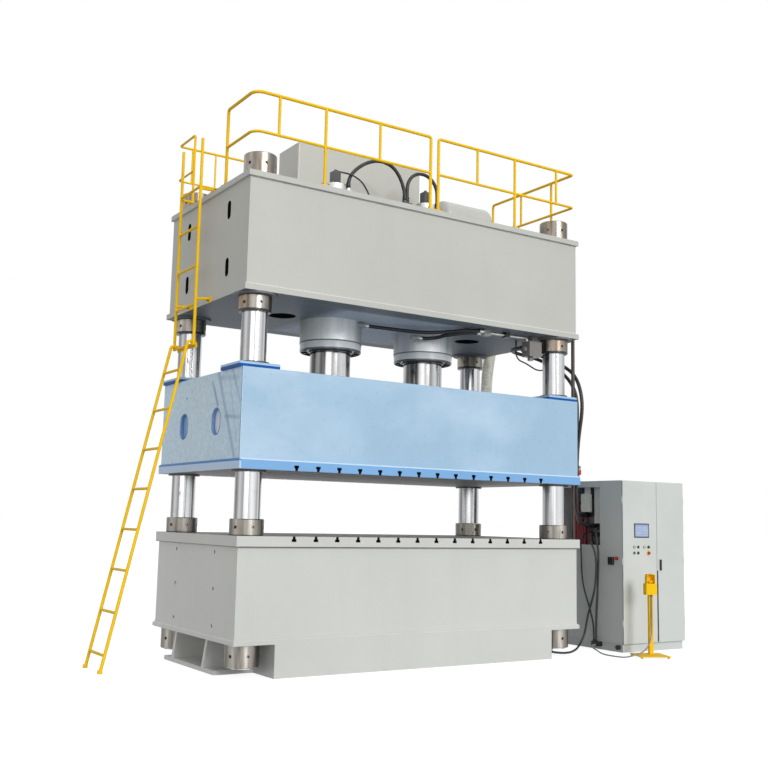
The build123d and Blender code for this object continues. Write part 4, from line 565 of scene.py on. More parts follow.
# Dark streaks of painted reflection on the slide's left end, from one (y, z) place to another, with a width
# and a strength
DARK_REFLECTION_STREAKS = [((-0.321, 2.932), (-0.472, 2.688), 0.035, 0.75), ((-0.463, 3.022), (-0.911, 2.146), 0.045, 0.5),
          ((-0.802, 3.036), (-0.998, 2.695), 0.035, 0.4), ((-0.519, 2.964), (-0.953, 2.929), 0.04, 0.28),
          ((-0.657, 2.561), (-1.013, 2.525), 0.03, 0.45), ((-0.74, 2.95), (-0.95, 2.3), 0.03, 0.2)]

FINISHES = {
    # The crown's inside and underside carry painted shade, and its underside between the barrels a painted
    # reflection
    "crown": paint("crown_paint", CROWN_GREY, 0.48, edge=(0.26, 0.26, 0.25), coat=0.0,
                   zones=[(HOLLOW, DARK, 0.9), (UNDERSIDE, (0.2, 0.215, 0.235), 0.5),
                          (BETWEEN_BARRELS, (0.66, 0.67, 0.72), 0.5)]),
    # Painted highlight: paler weld paint, as if the crown's flange welds caught the light
    "weld": paint("painted_weld", (0.84, 0.84, 0.81), edge=(0.5, 0.5, 0.48)),
    "base": paint("base_paint", BASE_GREY, edge=(0.32, 0.33, 0.31)),
    # The slide's left end is painted paler as painted light; its corner strip and window walls carry painted
    # shade
    "slide": paint("slide_paint", SLIDE_BLUE, 0.3, dirt=0.14, edge=DEEP_BLUE, edge_share=0.75,
                   coat=0.15, cloud=(0.5, 0.67, 0.84),
                   zones=[(SLIDE_END, (0.6, 0.82, 1.0), 0.34), (WINDOW_WALLS, (0.22, 0.42, 0.75), 0.4),
                          (SLIDE_CORNER, (0.14, 0.32, 0.72), 0.4)],
                   reflection_streaks=DARK_REFLECTION_STREAKS, reflection_streak_limits=SLIDE_END),
    # The guide plates' deep blue edges are painted shade lines
    "guide": paint("guide_plate_paint", shade(SLIDE_BLUE, 1.08), 0.3, dirt=0.12, edge=DEEP_BLUE,
                   coat=0.1, zones=[(GUIDE_PLATE_FEET, (0.002, 0.1, 0.4), 0.55)]),
    # Painted light: the plates at the bottom of the slide's window recesses, near white in front and blue
    # behind
    "window_fill": paint("window_plate", (0.88, 0.92, 0.96), 0.35, dirt=0.1, patch=5.0),
    "window_blue": paint("window_plate_blue", (0.28, 0.5, 0.84), 0.35, dirt=0.2, patch=5.0),
    "deep_blue": paint("deep_blue_paint", DEEP_BLUE, 0.35, dirt=0.1, patch=5.0),
    # The dark line at the bolster's foot is a painted shadow
    "bolster": two_faced("bolster_faces", BASE_GREY, (0.31, 0.31, 0.305), BOLSTER_TOP, BOLSTER_SLOTS, 1.071,
                         (0.3, 0.3, 0.28), [(BOLSTER_FOOT, (0.1, 0.1, 0.1))]),
    # The platen's pale left end is painted light, the deep blue line on it painted shade, and the pale front
    # line a painted highlight
    "platen": two_faced("platen_faces", (0.2, 0.44, 0.78), (0.3, 0.3, 0.3), PLATEN_BOTTOM, PLATEN_SLOTS,
                        1.076, DEEP_BLUE, [(PLATEN_END, (0.52, 0.69, 0.92)),
                                           (PLATEN_END_TOP, (0.002, 0.16, 0.48)),
                                           (PLATEN_LEDGE, (0.62, 0.78, 0.92))]),
    "chrome": steel("hard_chrome", (0.8, 0.81, 0.83), 0.14, scale=26.0, depth=0.06, bands=CHROME_BANDS),
    "rod": steel("rod_chrome", (0.86, 0.87, 0.88), 0.16, scale=22.0, depth=0.06, bands=ROD_BANDS),
    "crown_nut": steel("crown_nut_steel", OILY_STEEL, 0.3, scale=34.0, depth=0.22, streak=(1, 1, 0.08),
                       bands=CROWN_NUT_BANDS, oil=RUSTY_OIL,
                       zones=[(SEATING_RINGS, (0.02, 0.02, 0.02), 0.0)]),
    "base_nut": steel("base_nut_steel", OILY_STEEL, 0.3, scale=34.0, depth=0.22, streak=(1, 1, 0.08),
                      bands=NUT_BANDS),
    "dark_steel": steel("dark_steel", (0.1, 0.1, 0.1), 0.42, scale=90.0, streak=(1, 1, 1), depth=0.2),
    "bolt": steel("black_bolt", (0.05, 0.05, 0.05), 0.4, scale=200.0, streak=(1, 1, 1), depth=0.3),
    "pipe": steel("pipe_steel", (0.6, 0.6, 0.58), 0.36, scale=30.0, streak=(1, 1, 0.05), depth=0.18,
                  zones=[(PIPES_PAST_CROWN, (0.055, 0.038, 0.03), 0.3)]),
    "fitting": steel("zinc_fitting", (0.62, 0.62, 0.58), 0.28, scale=160.0, streak=(1, 1, 1), depth=0.14),
    "cylinder": steel("cylinder_paint", (0.88, 0.91, 0.91), 0.48, scale=20.0, depth=0.08, metallic=0.5,
                      bands=BARREL_BANDS, zones=[(BARREL_FEET, (0.16, 0.17, 0.17), 0.0)]),
    "gland": paint("gland_paint", (0.66, 0.69, 0.7), 0.3, dirt=0.16, edge=(0.3, 0.3, 0.3),
                   zones=[(GLAND_FEET, (0.1, 0.1, 0.105), 0.35)]),
    "tank": paint("tank_paint", (0.54, 0.545, 0.5), dirt=0.12, edge=(0.26, 0.26, 0.25)),
    "vessel": paint("vessel_paint", (0.56, 0.565, 0.53), dirt=0.12, edge=(0.33, 0.33, 0.32)),
    "yellow": paint("yellow_paint", YELLOW, 0.42, dirt=0.06, edge=(0.5, 0.26, 0.01), edge_share=0.3,
                    coat=0.0, patch=3.0, shine=0.12),
    "orange": paint("hood_paint", (1.0, 0.6, 0.001), 0.4, dirt=0.08, coat=0.0, patch=4.0, shine=0.15),
    "valve": paint("valve_grey", (0.055, 0.058, 0.065), 0.42, dirt=0.25, edge=(0.2, 0.2, 0.2), patch=6.0),
    "under_block": paint("under_block_paint", (0.21, 0.2, 0.19), 0.36, dirt=0.3,
                         edge=(0.4, 0.4, 0.38), patch=6.0,
                         zones=[(BLOCKS_AT_BARRELS, (0.42, 0.42, 0.4), 0.3)]),
    "cabinet": paint("cabinet_paint", CABINET_GREY, 0.46, dirt=0.05, edge=(0.36, 0.36, 0.36),
                     edge_share=0.3, grain=260.0, coat=0.0, patch=1.4),
    # Grey for strips of painted shade at the doors
    "shade_strip_grey": paint("door_shade_strip_grey", (0.4, 0.42, 0.44), 0.5, dirt=0.1, patch=4.0, coat=0.0),
    "motor": paint("motor_paint", (0.05, 0.08, 0.12), 0.4, dirt=0.2, patch=5.0),
    "cream": paint("cream_paint", (0.72, 0.72, 0.66), 0.42, dirt=0.1, patch=5.0),
    "hose": rubber("hose_cover", (0.014, 0.014, 0.015), 0.42, 0.5),
    "cable": rubber("cable_sheath", (0.018, 0.018, 0.02), 0.48),
    "grey_cable": rubber("grey_sheath", (0.26, 0.27, 0.28), 0.5),
    "red_pipe": rubber("red_pipe", (0.3, 0.02, 0.035), 0.4),
    "conduit": rubber("corrugated_skin", (0.84, 0.83, 0.76), 0.55),
    "black": plastic("black_plastic", (0.014, 0.014, 0.015), 0.3),
    "slate": plastic("slate_plastic", (0.035, 0.045, 0.06), 0.42),
    "screen": plastic("screen_glass", (0.36, 0.45, 0.68), 0.16, glow=0.03),
    "screen_bar": plastic("screen_bar", (0.32, 0.4, 0.62), 0.16, glow=0.03),
    "screen_key": plastic("screen_key", (0.42, 0.5, 0.7), 0.16, glow=0.03),
    "mint": plastic("mint_lens", (0.42, 0.74, 0.56), 0.18),
    "green": plastic("green_plastic", (0.02, 0.3, 0.06), 0.28),
    "red": plastic("red_plastic", (0.55, 0.02, 0.015), 0.28),
    "lens_yellow": plastic("yellow_lens", (0.8, 0.72, 0.3), 0.2),
    "plate_yellow": plastic("plate_yellow", (0.82, 0.6, 0.03), 0.4),
    "pole": plastic("pole_grey", (0.55, 0.56, 0.56), 0.35),
    # Near black for the painted shadow in the gap between the doors
    "gap_shadow_black": rubber("door_gap_shadow_black", (0.02, 0.02, 0.02), 0.6),
}

# The part's nodes by finish
NODE_FINISHES = {
    "base": ["base_beam"], "bolster": ["bolster_plate"], "crown": ["crown_beam"], "slide": ["slide_beam"],
    "platen": ["slide_platen"], "guide": ["guide_plates"],
    "dark_steel": ["guide_bushes", "pipe_clamps", "manifold"], "chrome": ["columns"],
    "crown_nut": ["crown_nuts"], "base_nut": ["base_nuts"], "cylinder": ["cylinders", "cylinder_heads"],
    "gland": ["gland_rings"], "rod": ["piston_rods"], "bolt": ["frame_bolts"],
    "valve": ["valve_units", "pipe_block"], "tank": ["oil_tank"], "vessel": ["pressure_vessel"],
    "under_block": ["under_crown_blocks"], "pipe": ["steel_pipes"],
    "yellow": ["handrail_front_left", "handrail_front_right", "handrail_back_left", "ladder_upper",
               "ladder_lower", "pedestal_stand"],
    "cabinet": ["cabinet_shell", "cabinet_door_left", "cabinet_door_right"],
    "black": ["door_handle", "button_upper", "button_lower", "selector_switch", "wall_fittings"],
    "slate": ["operating_panel"], "green": ["button_green"], "red": ["stop_button", "main_switch"],
    "motor": ["motor_pump_set"], "cream": ["terminal_box"], "orange": ["pedestal_box", "pedestal_button"],
}
for finish, names in NODE_FINISHES.items():
    for name in names:
        for place in nodes[name].material_slots:
            place.link = "OBJECT"
            place.material = FINISHES[finish]


# Cords, in millimetres: diameter, length, stiffness, how it lies, its finish, the finish of its crimped ends
# or None for glands, and the points of the route, which repeat the part's own
MM_PER_M = 1000
CORDS = {
    "valve_hose_left": (44, 1317, "stiff", "loose", "hose", "bolt", [
        (-473, 0, 5470), (-473, 0, 5560), (-438, -1, 5648), (-375, -3, 5725), (-280, -5, 5805),
        (-165, -6, 5870), (-40, -7, 5905), (85, -8, 5895), (185, -9, 5845), (262, -10, 5755),
        (310, -11, 5650), (334, -12, 5560), (334, -12, 5470)]),
    "valve_hose_right": (44, 1058, "stiff", "loose", "hose", "bolt", [
        (390, 18, 5470), (390, 18, 5585), (392, 17, 5705), (450, 15, 5810), (552, 12, 5872), (672, 8, 5873),
        (776, 5, 5812), (835, 2, 5706), (837, 0, 5585), (837, 0, 5470)]),
    "valve_cable": (20, 905, "medium", "loose", "cable", None, [
        (-641, 0, 5652), (-556, 0, 5652), (-477, -32, 5641), (-396, -55, 5610), (-322, -66, 5562),
        (-262, -68, 5494), (-212, -66, 5412), (-178, -62, 5322), (-160, -59.5, 5227.5), (-158, -60, 5136),
        (-158, -60, 5048)]),
    "under_hose_left": (44, 1479, "stiff", "hanging", "hose", "fitting", [
        (-402, -300, 3772), (-273, -300, 3772), (-145, -346, 3764), (-20, -398, 3755), (108.5, -441, 3747),
        (238, -483.5, 3742), (363, -535.5, 3744), (482.5, -605.5, 3752), (592.5, -690, 3762.5),
        (686, -790, 3772), (801, -854, 3778), (930, -854, 3778)]),
    "under_hose_right": (44, 818, "stiff", "hanging", "hose", "fitting", [
        (300, -380, 3698), (386, -380, 3698), (471.5, -417.5, 3703.5), (535, -483.5, 3713.5),
        (565, -571.5, 3727), (622, -643, 3737.5), (689, -708.5, 3747.5), (757, -772, 3757),
        (844, -804, 3762), (930, -804, 3762)]),
    "sensor_cable": (18, 1036, "medium", "hanging", "cable", None, [
        (1743, -478, 3809), (1743, -478, 3714), (1745, -479, 3618), (1792, -488, 3562), (1870, -496, 3545),
        (1960, -500, 3508), (2040, -500, 3475), (2120, -502, 3466), (2185, -525, 3485), (2222, -575, 3545),
        (2230, -625, 3620), (2230, -640, 3714), (2230, -640, 3809)]),
    "side_hose_front": (45, 3652, "stiff", "hanging", "hose", "bolt", [
        (1725, -760, 3690), (1725, -637, 3690), (1795, -520, 3690), (1920, -472, 3686), (2055, -482, 3672),
        (2190, -515, 3640), (2310, -580, 3590), (2375, -680, 3520), (2399, -800, 3430), (2400, -891, 3309),
        (2400, -945, 3160), (2400, -965, 3010), (2400, -949, 2853.5), (2400, -920, 2717.5),
        (2400, -896, 2579.5), (2400, -879, 2440.5), (2401, -868.5, 2301), (2403, -860, 2161.5),
        (2410.5, -847.5, 2022.5), (2435, -818, 1888), (2484.5, -769.5, 1767), (2559, -705.5, 1667.5),
        (2656.5, -631, 1600.5), (2771, -560, 1563.5), (2893, -494.5, 1546), (3017, -430, 1540),
        (3150, -430, 1540)]),
    "side_hose_back": (45, 3621, "stiff", "hanging", "hose", "bolt", [
        (1655, -760, 3690), (1655, -612, 3690), (1695, -455, 3690), (1800, -355, 3688), (1940, -320, 3680),
        (2080, -345, 3660), (2210, -400, 3622), (2325, -475, 3560), (2410, -570, 3475), (2450, -680, 3360),
        (2464, -765, 3225), (2466, -805, 3080), (2464.5, -812, 2930), (2462, -809, 2786.5),
        (2460.5, -799, 2617.5), (2461.5, -786.5, 2448.5), (2465, -771, 2280), (2479, -739, 2114.5),
        (2525.5, -675.5, 1964.5), (2613.5, -587, 1851), (2726, -487, 1773), (2848, -384, 1717.5),
        (2990, -300, 1680), (3150, -300, 1680)]),
    "cabinet_cable_a": (26, 1562, "limp", "loose", "cable", None, [
        (3150, -575, 1520), (3051, -575, 1520), (2973.5, -600, 1460), (2956.5, -635, 1361),
        (2967.5, -650, 1257), (2971.5, -651.5, 1151.5), (2972, -647, 1045.5), (2972, -642.5, 940),
        (2972, -637.5, 834), (2972, -632, 728), (2971, -624.5, 622.5), (2970.5, -616, 517),
        (2970, -609.5, 411), (2969, -606, 305), (2968, -606, 199), (2968, -606, 100)]),
    "cabinet_cable_b": (26, 2781, "limp", "loose", "cable", None, [
        (3150, -500, 1440), (3047, -500, 1440), (2951.5, -532, 1405.5), (2901.5, -588, 1334),
        (2910.5, -640.5, 1239), (2917.5, -664, 1135), (2920, -665.5, 1027), (2920, -658.5, 918.5),
        (2920, -645.5, 811), (2920, -622, 705), (2920, -586.5, 602.5), (2920, -545.5, 502),
        (2919.5, -508, 400), (2917, -483.5, 294.5), (2901.5, -472.5, 188), (2849, -475.5, 95.5),
        (2764, -503.5, 32), (2676, -563.5, 15), (2590, -629.5, 13.5), (2502.5, -694.5, 13.5),
        (2412.5, -755, 13.5), (2315, -803, 14), (2209, -824.5, 17), (2102.5, -804.5, 26),
        (2010, -749.5, 43.5), (1915, -700, 60), (1812, -700, 60)]),
    "cabinet_cable_c": (20, 1505, "limp", "loose", "cable", None, [
        (3150, -330, 1450), (3060, -330, 1450), (2987.5, -332.5, 1393.5), (2968, -336, 1300.5),
        (2973, -339, 1205), (2974.5, -342, 1110), (2974, -346, 1014.5), (2974, -351.5, 919.5),
        (2974, -366, 825), (2974, -391, 733), (2974, -424.5, 643.5), (2974, -463, 556.5),
        (2974, -500, 468.5), (2974, -531, 378.5), (2973.5, -552, 285.5), (2973, -560, 190),
        (2973, -560, 100)]),
    "pedestal_cable": (16, 1906, "limp", "loose", "grey_cable", None, [
        (3101, -1408, 724), (3101, -1408, 636.5), (3100.5, -1409, 544), (3099, -1411, 451.5),
        (3094, -1415, 359), (3081, -1420, 267.5), (3052, -1425, 179), (2995, -1430, 105.5),
        (2913.5, -1435, 63), (2824, -1442, 48), (2735.5, -1439, 28), (2662.5, -1389.5, 9),
        (2629, -1304, 8.5), (2621, -1212, 8.5), (2630, -1120.5, 8.5), (2657.5, -1032.5, 8.5),
        (2701.5, -951.5, 8.5), (2753, -874.5, 10), (2790.5, -792.5, 19), (2804.5, -703.5, 39.5),
        (2857.5, -632, 60), (2945, -632, 60)]),
}

# Profiles of the cords' end fittings, as shares of a cord's radius
CRIMP_NUT = [(1.45, 0), (1.45, 0.9), (1.15, 0.95)]
CRIMP_SLEEVE = [(1.08, 0.9), (1.26, 1.05), (1.26, 2.7), (1.12, 2.85), (1.12, 3.0), (0.98, 3.1)]
GLAND_NUT = [(1.5, 0), (1.5, 0.8), (1.2, 0.9)]
GLAND_BODY = [(1.3, 0.85), (1.3, 1.6), (1.02, 2.2)]


def sized(profile, size):
    """A profile with its radii and heights times a size."""
    return [(size * radius, size * height) for radius, height in profile]


def cord_piece(name):
    """One hose or cable as a smooth spline on its route, with its end fittings or glands."""
    diameter, length, stiffness, lay, finish, crimped, points = CORDS[name]
    diameter, length = diameter / MM_PER_M, length / MM_PER_M
    points = [tuple(value / MM_PER_M for value in point) for point in points]
    data = bpy.data.curves.new(name + "_line", "CURVE")
    data.dimensions = "3D"
    data.resolution_u = 10
    data.bevel_depth = diameter / 2
    data.bevel_resolution = 4
    data.use_fill_caps = True
    spline = data.splines.new("NURBS")
    spline.points.add(len(points) - 1)
    for point, spot in zip(spline.points, points):
        point.co = (*spot, 1)
    spline.order_u = 3
    spline.use_endpoint_u = True
    piece = bpy.data.objects.new(name + "_line", data)
    bpy.context.scene.collection.objects.link(piece)
    data.materials.append(FINISHES[finish])
    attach(piece, "frame")
    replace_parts(piece, name)
    ends = Shape()
    for spot, following in ((points[0], points[1]), (points[-1], points[-2])):
        out = (Vector(following) - Vector(spot)).normalized()
        nut, body, segments = (CRIMP_NUT, CRIMP_SLEEVE, 20) if crimped else (GLAND_NUT, GLAND_BODY, 16)
        ends.lathe(sized(nut, diameter / 2), spot, out, 6)
        ends.lathe(sized(body, diameter / 2), spot, out, segments)
    fittings = ends.done(name + "_ends", FINISHES[crimped or "black"])


for name in CORDS:
    cord_piece(name)


# The corrugated hose: its ends, its waves and the points in each, its radius, and how far its waves and its
# sway go
HOSE_TOP = (2.527, 1.0, 3.92)
HOSE_FOOT = (2.392, 1.0, 2.89)
HOSE_WAVES = 52
WAVE_POINTS = 4
HOSE_R = 0.074
WAVE_DEPTH = 0.0078
HOSE_SWAY = 0.012


def corrugated_hose():
    """The corrugated hose behind the right back column, which on the press stretches with the slide."""
    top, foot = Vector(HOSE_TOP), Vector(HOSE_FOOT)
    points, radii = [], []
    count = HOSE_WAVES * WAVE_POINTS
    for i in range(count + 1):
        share = i / count
        points.append(foot.lerp(top, share) + Vector((math.sin(share * math.pi * 2) * HOSE_SWAY, 0, 0)))
        radii.append(HOSE_R + WAVE_DEPTH * math.cos(i * 2 * math.pi / WAVE_POINTS))
    skin = Shape().tube(points, radii, 28)
    hose = skin.done("corrugated_hose_skin", FINISHES["conduit"], body=None, angle=80)
    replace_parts(hose, "corrugated_hose")
    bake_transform(hose)


corrugated_hose()


# Weld beads along the joints of the beams' plates

def weld_line(shape, a, b, size):
    """A bead along an inner corner, with the small steps that a welder leaves."""
    a, b = Vector(a), Vector(b)
    steps = max(2, int((b - a).length / WELD_STEP))
    points = [a.lerp(b, i / steps) for i in range(steps + 1)]
    radii = [size * (0.9 + 0.16 * math.sin(i * 2.1) + 0.1 * random.random()) for i in range(steps + 1)]
    shape.tube(points, radii, 6)


def weld_round(name, half_x, half_y, z, size, finish, slot):
    """Four beads round a beam at one height."""
    beads = Shape()
    corners = [(-half_x, -half_y, z), (half_x, -half_y, z), (half_x, half_y, z), (-half_x, half_y, z)]
    for a, b in zip(corners, corners[1:] + corners[:1]):
        weld_line(beads, a, b, size)
    beads.done(name, FINISHES[finish], slot=slot)


# The crown's flange welds take the paler weld paint, a painted highlight
weld_round("crown_welds", 2.235, 1.028, CROWN_FLANGE_TOP, 0.013, "weld", "crown_paint")
weld_round("crown_top_welds", 2.235, 1.028, CROWN_BODY_TOP, 0.006, "crown", "crown_paint")
weld_round("base_welds", 2.222, 1.04, BASE_FLANGE_TOP, 0.006, "base", "base_paint")


# Recessed windows in the slide's ends, with the width and length of each outline
WINDOW_Z = PLATEN_TOP + 0.395
WINDOW_DEPTH = 0.0375
RIM_OUTER = (0.213, 0.288)
RIM_INNER = (0.197, 0.272)
WINDOW_PLATE = (0.186, 0.261)


def obround(width, length):
    """An upright slot's outline with round ends, as (across, up) pairs."""
    steps = 12
    r = width / 2
    rise = length / 2 - r
    top = [(r * math.cos(math.pi * i / steps), rise + r * math.sin(math.pi * i / steps))
           for i in range(steps + 1)]
    return top + [(-a, -b) for a, b in top]


def slide_windows():
    """A deep blue rim round each window and, at its bottom, a plate of painted light: near white in the front
    windows and blue in the far ones.
    """
    rims, plates, far_plates = Shape(), Shape(), Shape()
    outer, inner, flat = obround(*RIM_OUTER), obround(*RIM_INNER), obround(*WINDOW_PLATE)
    up = (0, 0, 1)
    for side in (-1, 1):
        across = (0, side, 0)
        for y, plate in ((-0.441, plates), (0.416, far_plates)):
            rims.band(outer, inner, (side * SLIDE_X, y, WINDOW_Z), across, up, 0.0025)
            plate.slab(flat, (side * (SLIDE_X - WINDOW_DEPTH), y, WINDOW_Z), across, up, 0.003)
    rims.done("window_rims", FINISHES["deep_blue"], "slide", "slide_paint")
    plates.done("window_plates", FINISHES["window_fill"], "slide", "slide_paint")
    far_plates.done("window_plates_far", FINISHES["window_blue"], "slide", "slide_paint")


# The middles of the rails' foot plates, and how far the bolts stand from them along and across a plate
FEET = [(-2.21, -0.36), (0.013, -1.01), (-1.366, -1.01), (0.122, -1.01), (2.21, 0.571), (1.26, -1.01),
        (2.21, -0.61), (-2.21, 0.55), (-1.1, 1.01)]
ALONG_PAD = 0.036
ACROSS_PAD = 0.026


def foot_bolts():
    """Bolts that hold the rails' feet and the upper ladder's lower brackets."""
    bolts = Shape()
    for x, y in FEET:
        reach_x, reach_y = (ACROSS_PAD, ALONG_PAD) if abs(x) > 2.2 else (ALONG_PAD, ACROSS_PAD)
        for dx, dy in ((-1, -1), (1, -1), (-1, 1), (1, 1)):
            bolts.bolt((x + dx * reach_x, y + dy * reach_y, CROWN_TOP + FOOT_PAD), (0, 0, 1), 0.016, 0.008)
    for y in (-0.19, 0.35):
        bolts.bolt((-2.27, y + 0.022, CROWN_FLANGE_TOP - 0.03), (-1, 0, 0), 0.024, 0.012)
    bolts.done("foot_bolts", FINISHES["bolt"], slot="dark_steel")


slide_windows()
foot_bolts()


# Cabinet: screen, lamps, strips of painted shade at the doors, signal lamp and what shows through the side
# window
SCREEN_X = (3.213, 3.448)
SCREEN_Z = (1.415, 1.565)
SCREEN_OUT = 0.0058
DEVICE_X = (3.198, 3.267, 3.377, 3.45)
UPPER_ROW = 1.285
LOWER_ROW = 1.211
LAMP_LENS = [(0.0128, 0), (0.0128, 0.008), (0.0105, 0.0112), (0.005, 0.012), (0, 0.012)]
STOP_PLATE = [(0.0295, 0), (0.0295, 0.0022), (0.0285, 0.003), (0.0075, 0.003), (0.0075, 0)]
BUTTON_RING = [(0.0172, 0.0005), (0.0178, 0.006), (0.0168, 0.0085), (0.0136, 0.0085), (0.0136, 0.0005)]


def screen():
    """The screen in its frame, with a bar at its top and foot and two kinds of keys."""
    (left, right), (low, high) = SCREEN_X, SCREEN_Z
    face = DOOR_FRONT - SCREEN_OUT
    glass = Shape().box((left, face, low), (right, face + 0.0012, high), 0)
    glass.done("screen", FINISHES["screen"], "door_left", "panel_slate")
    bars = Shape().box((left, face - 0.0006, high - 0.02), (right, face, high), 0)
    bars.box((left, face - 0.0006, low), (right, face, low + 0.024), 0)
    bars.done("screen_bars", FINISHES["screen_bar"], "door_left", "panel_slate")
    small = [(left + 0.008 + i * 0.038, low + 0.005, 0.028, 0.014) for i in range(6)]
    large = [(left + 0.016 + i * 0.112, low + 0.038 + j * 0.032, 0.088, 0.018)
             for i in range(2) for j in range(3)]
    keys = Shape()
    for x, z, width, height in small + large:
        keys.box((x, face - 0.001, z), (x + width, face - 0.0004, z + height), 0)
    keys.done("screen_keys", FINISHES["screen_key"], "door_left", "panel_slate")


def door_devices():
    """The lamps' lenses, the stop button's plate and the collars on the left door."""
    outward = (0, -1, 0)
    for name, x, finish in (("lamp_mint", DEVICE_X[0], "mint"), ("lamp_yellow", DEVICE_X[2], "lens_yellow")):
        lens = Shape().lathe(LAMP_LENS, (x, DOOR_FRONT, UPPER_ROW), outward)
        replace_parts(lens.done(name, FINISHES[finish], "door_left", "lamp_mint"), "panel_fittings")
    plate = Shape().lathe(STOP_PLATE, (DEVICE_X[3], DOOR_FRONT, LOWER_ROW), outward, 40, closed=True)
    plate = plate.done("stop_plate", FINISHES["plate_yellow"], "door_left", "lamp_mint")
    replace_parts(plate, "panel_fittings")
    rings = Shape()
    for x, z in [(x, UPPER_ROW) for x in DEVICE_X] + [(x, LOWER_ROW) for x in DEVICE_X[:2]]:
        rings.lathe(BUTTON_RING, (x, DOOR_FRONT, z), outward, closed=True)
    rings.done("button_rings", FINISHES["black"], "door_left", "panel_slate")


# Strips of painted shade on the doors: name, finish, body, and two corners, with Y counted from the doors'
# front
DOOR_STRIPS = [
    # Painted shade: a grey strip on the left door's outer edge
    ("door_edge_shade_strip", "shade_strip_grey", "door_left", (3.0035, 0.002, 0.115), (3.006, 0.017, 2.095)),
    # Painted shadow: a black strip in the lower part of the gap between the doors
    ("door_gap_shadow_strip", "gap_shadow_black", "door_right", (3.6065, -0.0008, 0.112), (3.626, 0.014, 0.99)),
    # Painted shade: a grey line in the upper part of the gap between the doors
    ("door_gap_shade_line", "shade_strip_grey", "door_right", (3.6055, 0.0005, 0.994), (3.612, 0.014, 2.104)),
]


def door_shade_strips():
    """Dark strips of painted shade along the left door's outer edge and in the gap between the doors."""
    for name, finish, body, (x0, y0, z0), (x1, y1, z1) in DOOR_STRIPS:
        strip = Shape().box((x0, DOOR_FRONT + y0, z0), (x1, DOOR_FRONT + y1, z1), 0.0005)
        strip.done(name, FINISHES[finish], body, "cabinet_paint")


# The signal lamp's parts: name, finish, slot, and (radius, height) profile over the cabinet's roof
LAMP_PARTS = [
    ("signal_pole", "pole", "red_plastic",
     [(0.034, 0), (0.034, 0.006), (0.03, 0.008), (0.0118, 0.01), (0.0118, 0.09)]),
    ("signal_red_lens", "red", "red_plastic",
     [(0.024, 0.09), (0.0285, 0.093), (0.0295, 0.1), (0.0295, 0.152), (0.026, 0.155)]),
    ("signal_green_lens", "green", "green_plastic",
     [(0.0235, 0.172), (0.0235, 0.2), (0.018, 0.208), (0.008, 0.2115), (0, 0.212)]),
    ("signal_collar", "pole", "red_plastic", [(0.0248, 0.155), (0.0248, 0.172)]),
]


def signal_lamp():
    """The lamp on the cabinet's roof, red below and green above."""
    for name, finish, slot, profile in LAMP_PARTS:
        part = Shape().lathe(profile, (3.06, -0.215, CABINET_TOP))
        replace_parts(part.done(name, FINISHES[finish], slot=slot), "signal_lamp")


# Each upright pipe behind the side window: its y and x, where it comes out of the dark and where it turns in.
# Then how far it goes on below, the corner it turns with and how far it goes in.
INNER_PIPES = [(-0.56, 3.125, 1.3, 1.5), (-0.265, 3.12, 1.2, 1.62), (-0.225, 3.118, 1.2, 1.56),
               (-0.085, 3.13, 1.2, 1.8), (-0.12, 3.125, 1.2, 1.7), (-0.155, 3.118, 1.2, 1.84),
               (-0.19, 3.122, 1.2, 1.74), (-0.33, 3.116, 1.2, 1.5)]
PIPE_BELOW = 0.3
PIPE_CORNER = 0.03
PIPE_INWARD = 0.12


def window_contents():
    """Rigid pipes and small fittings behind the side window."""
    pipes = Shape()
    for y, x, low, high in INNER_PIPES:
        top = high + PIPE_CORNER
        route = [(x, y, low - PIPE_BELOW), (x, y, low), (x, y, high), (x + PIPE_CORNER, y, top),
                 (x + PIPE_INWARD, y, top)]
        pipes.tube(route, [INNER_PIPE_R] * len(route), 12)
    pipes.done("inner_pipes", FINISHES["red_pipe"], slot="hose_red")
    blocks = Shape()
    for z in (1.05, 1.16, 1.27, 1.4):
        blocks.box((3.1, -0.52, z), (3.15, -0.46, z + 0.05), 0.003)
        blocks.box((3.1, -0.4, z + 0.01), (3.15, -0.35, z + 0.05), 0.003)
    blocks.done("valve_coils", FINISHES["dark_steel"], slot="dark_steel")


screen()
door_devices()
door_shade_strips()
signal_lamp()
window_contents()


# Stage: a pale floor and plain light

def seen_rays(tree):
    """1 for rays that come from the camera, off a glossy surface or through glass, and 0 for the others."""
    path = tree.nodes.new("ShaderNodeLightPath")
    seen = path.outputs["Is Camera Ray"]
    for kind in ("Is Glossy Ray", "Is Transmission Ray"):
        node = tree.nodes.new("ShaderNodeMath")
        node.operation = "MAXIMUM"
        tree.links.new(seen, node.inputs[0])
        tree.links.new(path.outputs[kind], node.inputs[1])
        seen = node.outputs[0]
    return seen


def floor():
    """A floor that looks nearly white but throws only a little light up at the press."""
    bpy.ops.mesh.primitive_plane_add(size=400.0, location=(0, 0, 0))
    plane = bpy.context.object
    plane.name = "floor"
    f = Finish("floor", 0.9)
    seen = seen_rays(f.tree)
    f.colour(f.mix(seen, (0.42, 0.42, 0.42), (0.26, 0.26, 0.26)))
    glow = f.node("Emission")
    f.put(glow.inputs["Color"], (1, 1, 1))
    f.put(glow.inputs["Strength"], f.math("MULTIPLY", seen, 0.86))
    total = f.node("AddShader")
    f.put(total.inputs[0], f.bsdf.outputs[0])
    f.put(total.inputs[1], glow.outputs[0])
    f.put(f.tree.nodes["Material Output"].inputs["Surface"], total.outputs[0])
    plane.data.materials.append(f.material)


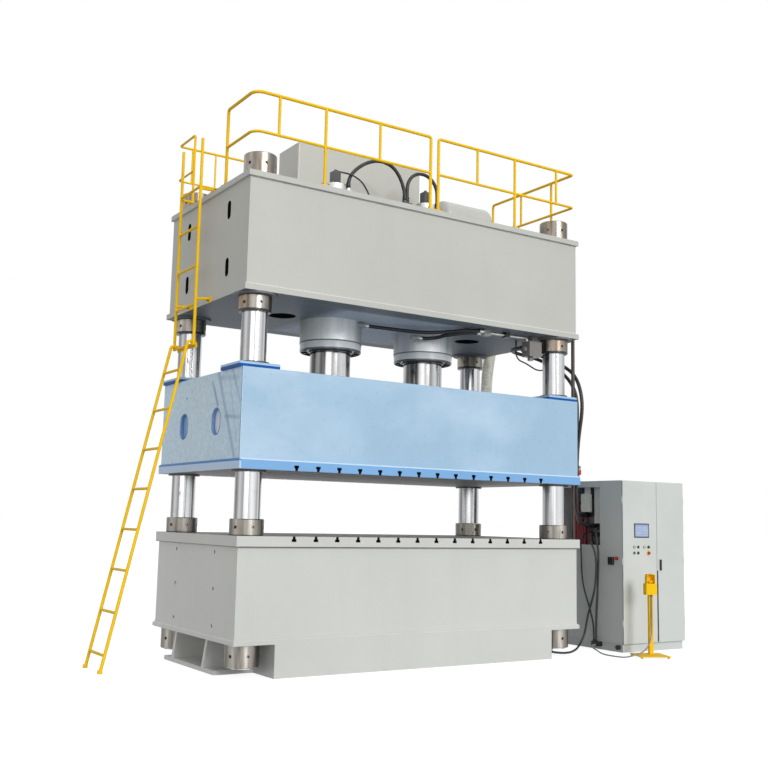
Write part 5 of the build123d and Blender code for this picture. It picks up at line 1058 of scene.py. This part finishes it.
def surroundings():
    """A world that looks white and lights the press softly from all sides."""
    world = bpy.data.worlds.new("studio")
    bpy.context.scene.world = world
    world.use_nodes = True
    tree = world.node_tree
    back = tree.nodes["Background"]
    back.inputs["Color"].default_value = (0.95, 0.97, 1.0, 1)
    back.inputs["Strength"].default_value = 0.52
    white = tree.nodes.new("ShaderNodeBackground")
    white.inputs["Color"].default_value = (1, 1, 1, 1)
    white.inputs["Strength"].default_value = 1.0
    choose = tree.nodes.new("ShaderNodeMixShader")
    tree.links.new(seen_rays(tree), choose.inputs[0])
    tree.links.new(back.outputs[0], choose.inputs[1])
    tree.links.new(white.outputs[0], choose.inputs[2])
    tree.links.new(choose.outputs[0], tree.nodes["World Output"].inputs["Surface"])


# Each sun's name, strength, spread in degrees and direction
SUNS = [("key", 1.66, 24, (-0.03, 0.9, -0.36)), ("fill", 0.62, 40, (0.62, 0.7, 0.02))]


def suns():
    """A key light on the front and a weaker fill light from the left."""
    for name, energy, spread, toward in SUNS:
        sun = bpy.data.lights.new(name, "SUN")
        sun.energy = energy
        sun.angle = math.radians(spread)
        sun.color = (1.0, 0.985, 0.96)
        lamp = bpy.data.objects.new(name, sun)
        bpy.context.scene.collection.objects.link(lamp)
        lamp.rotation_euler = Vector(toward).to_track_quat("-Z", "Y").to_euler()


def camera():
    """The camera that was solved from the photograph."""
    data = bpy.data.cameras.new("camera")
    data.lens = LENS
    data.sensor_width = SENSOR
    data.clip_end = 500
    ahead = Vector((math.sin(AZIMUTH) * math.cos(ELEVATION), math.cos(AZIMUTH) * math.cos(ELEVATION),
                    math.sin(ELEVATION)))
    level = Vector((math.cos(AZIMUTH), -math.sin(AZIMUTH), 0))
    down = ahead.cross(level)
    right = level * math.cos(ROLL) + down * math.sin(ROLL)
    below = down * math.cos(ROLL) - level * math.sin(ROLL)
    eye = bpy.data.objects.new("camera", data)
    bpy.context.scene.collection.objects.link(eye)
    turn = Matrix((right, -below, -ahead)).transposed()
    eye.matrix_world = Matrix.Translation(EYE) @ turn.to_4x4()
    bpy.context.scene.camera = eye


floor()
surroundings()
suns()
camera()
bpy.context.scene.view_settings.view_transform = "Standard"
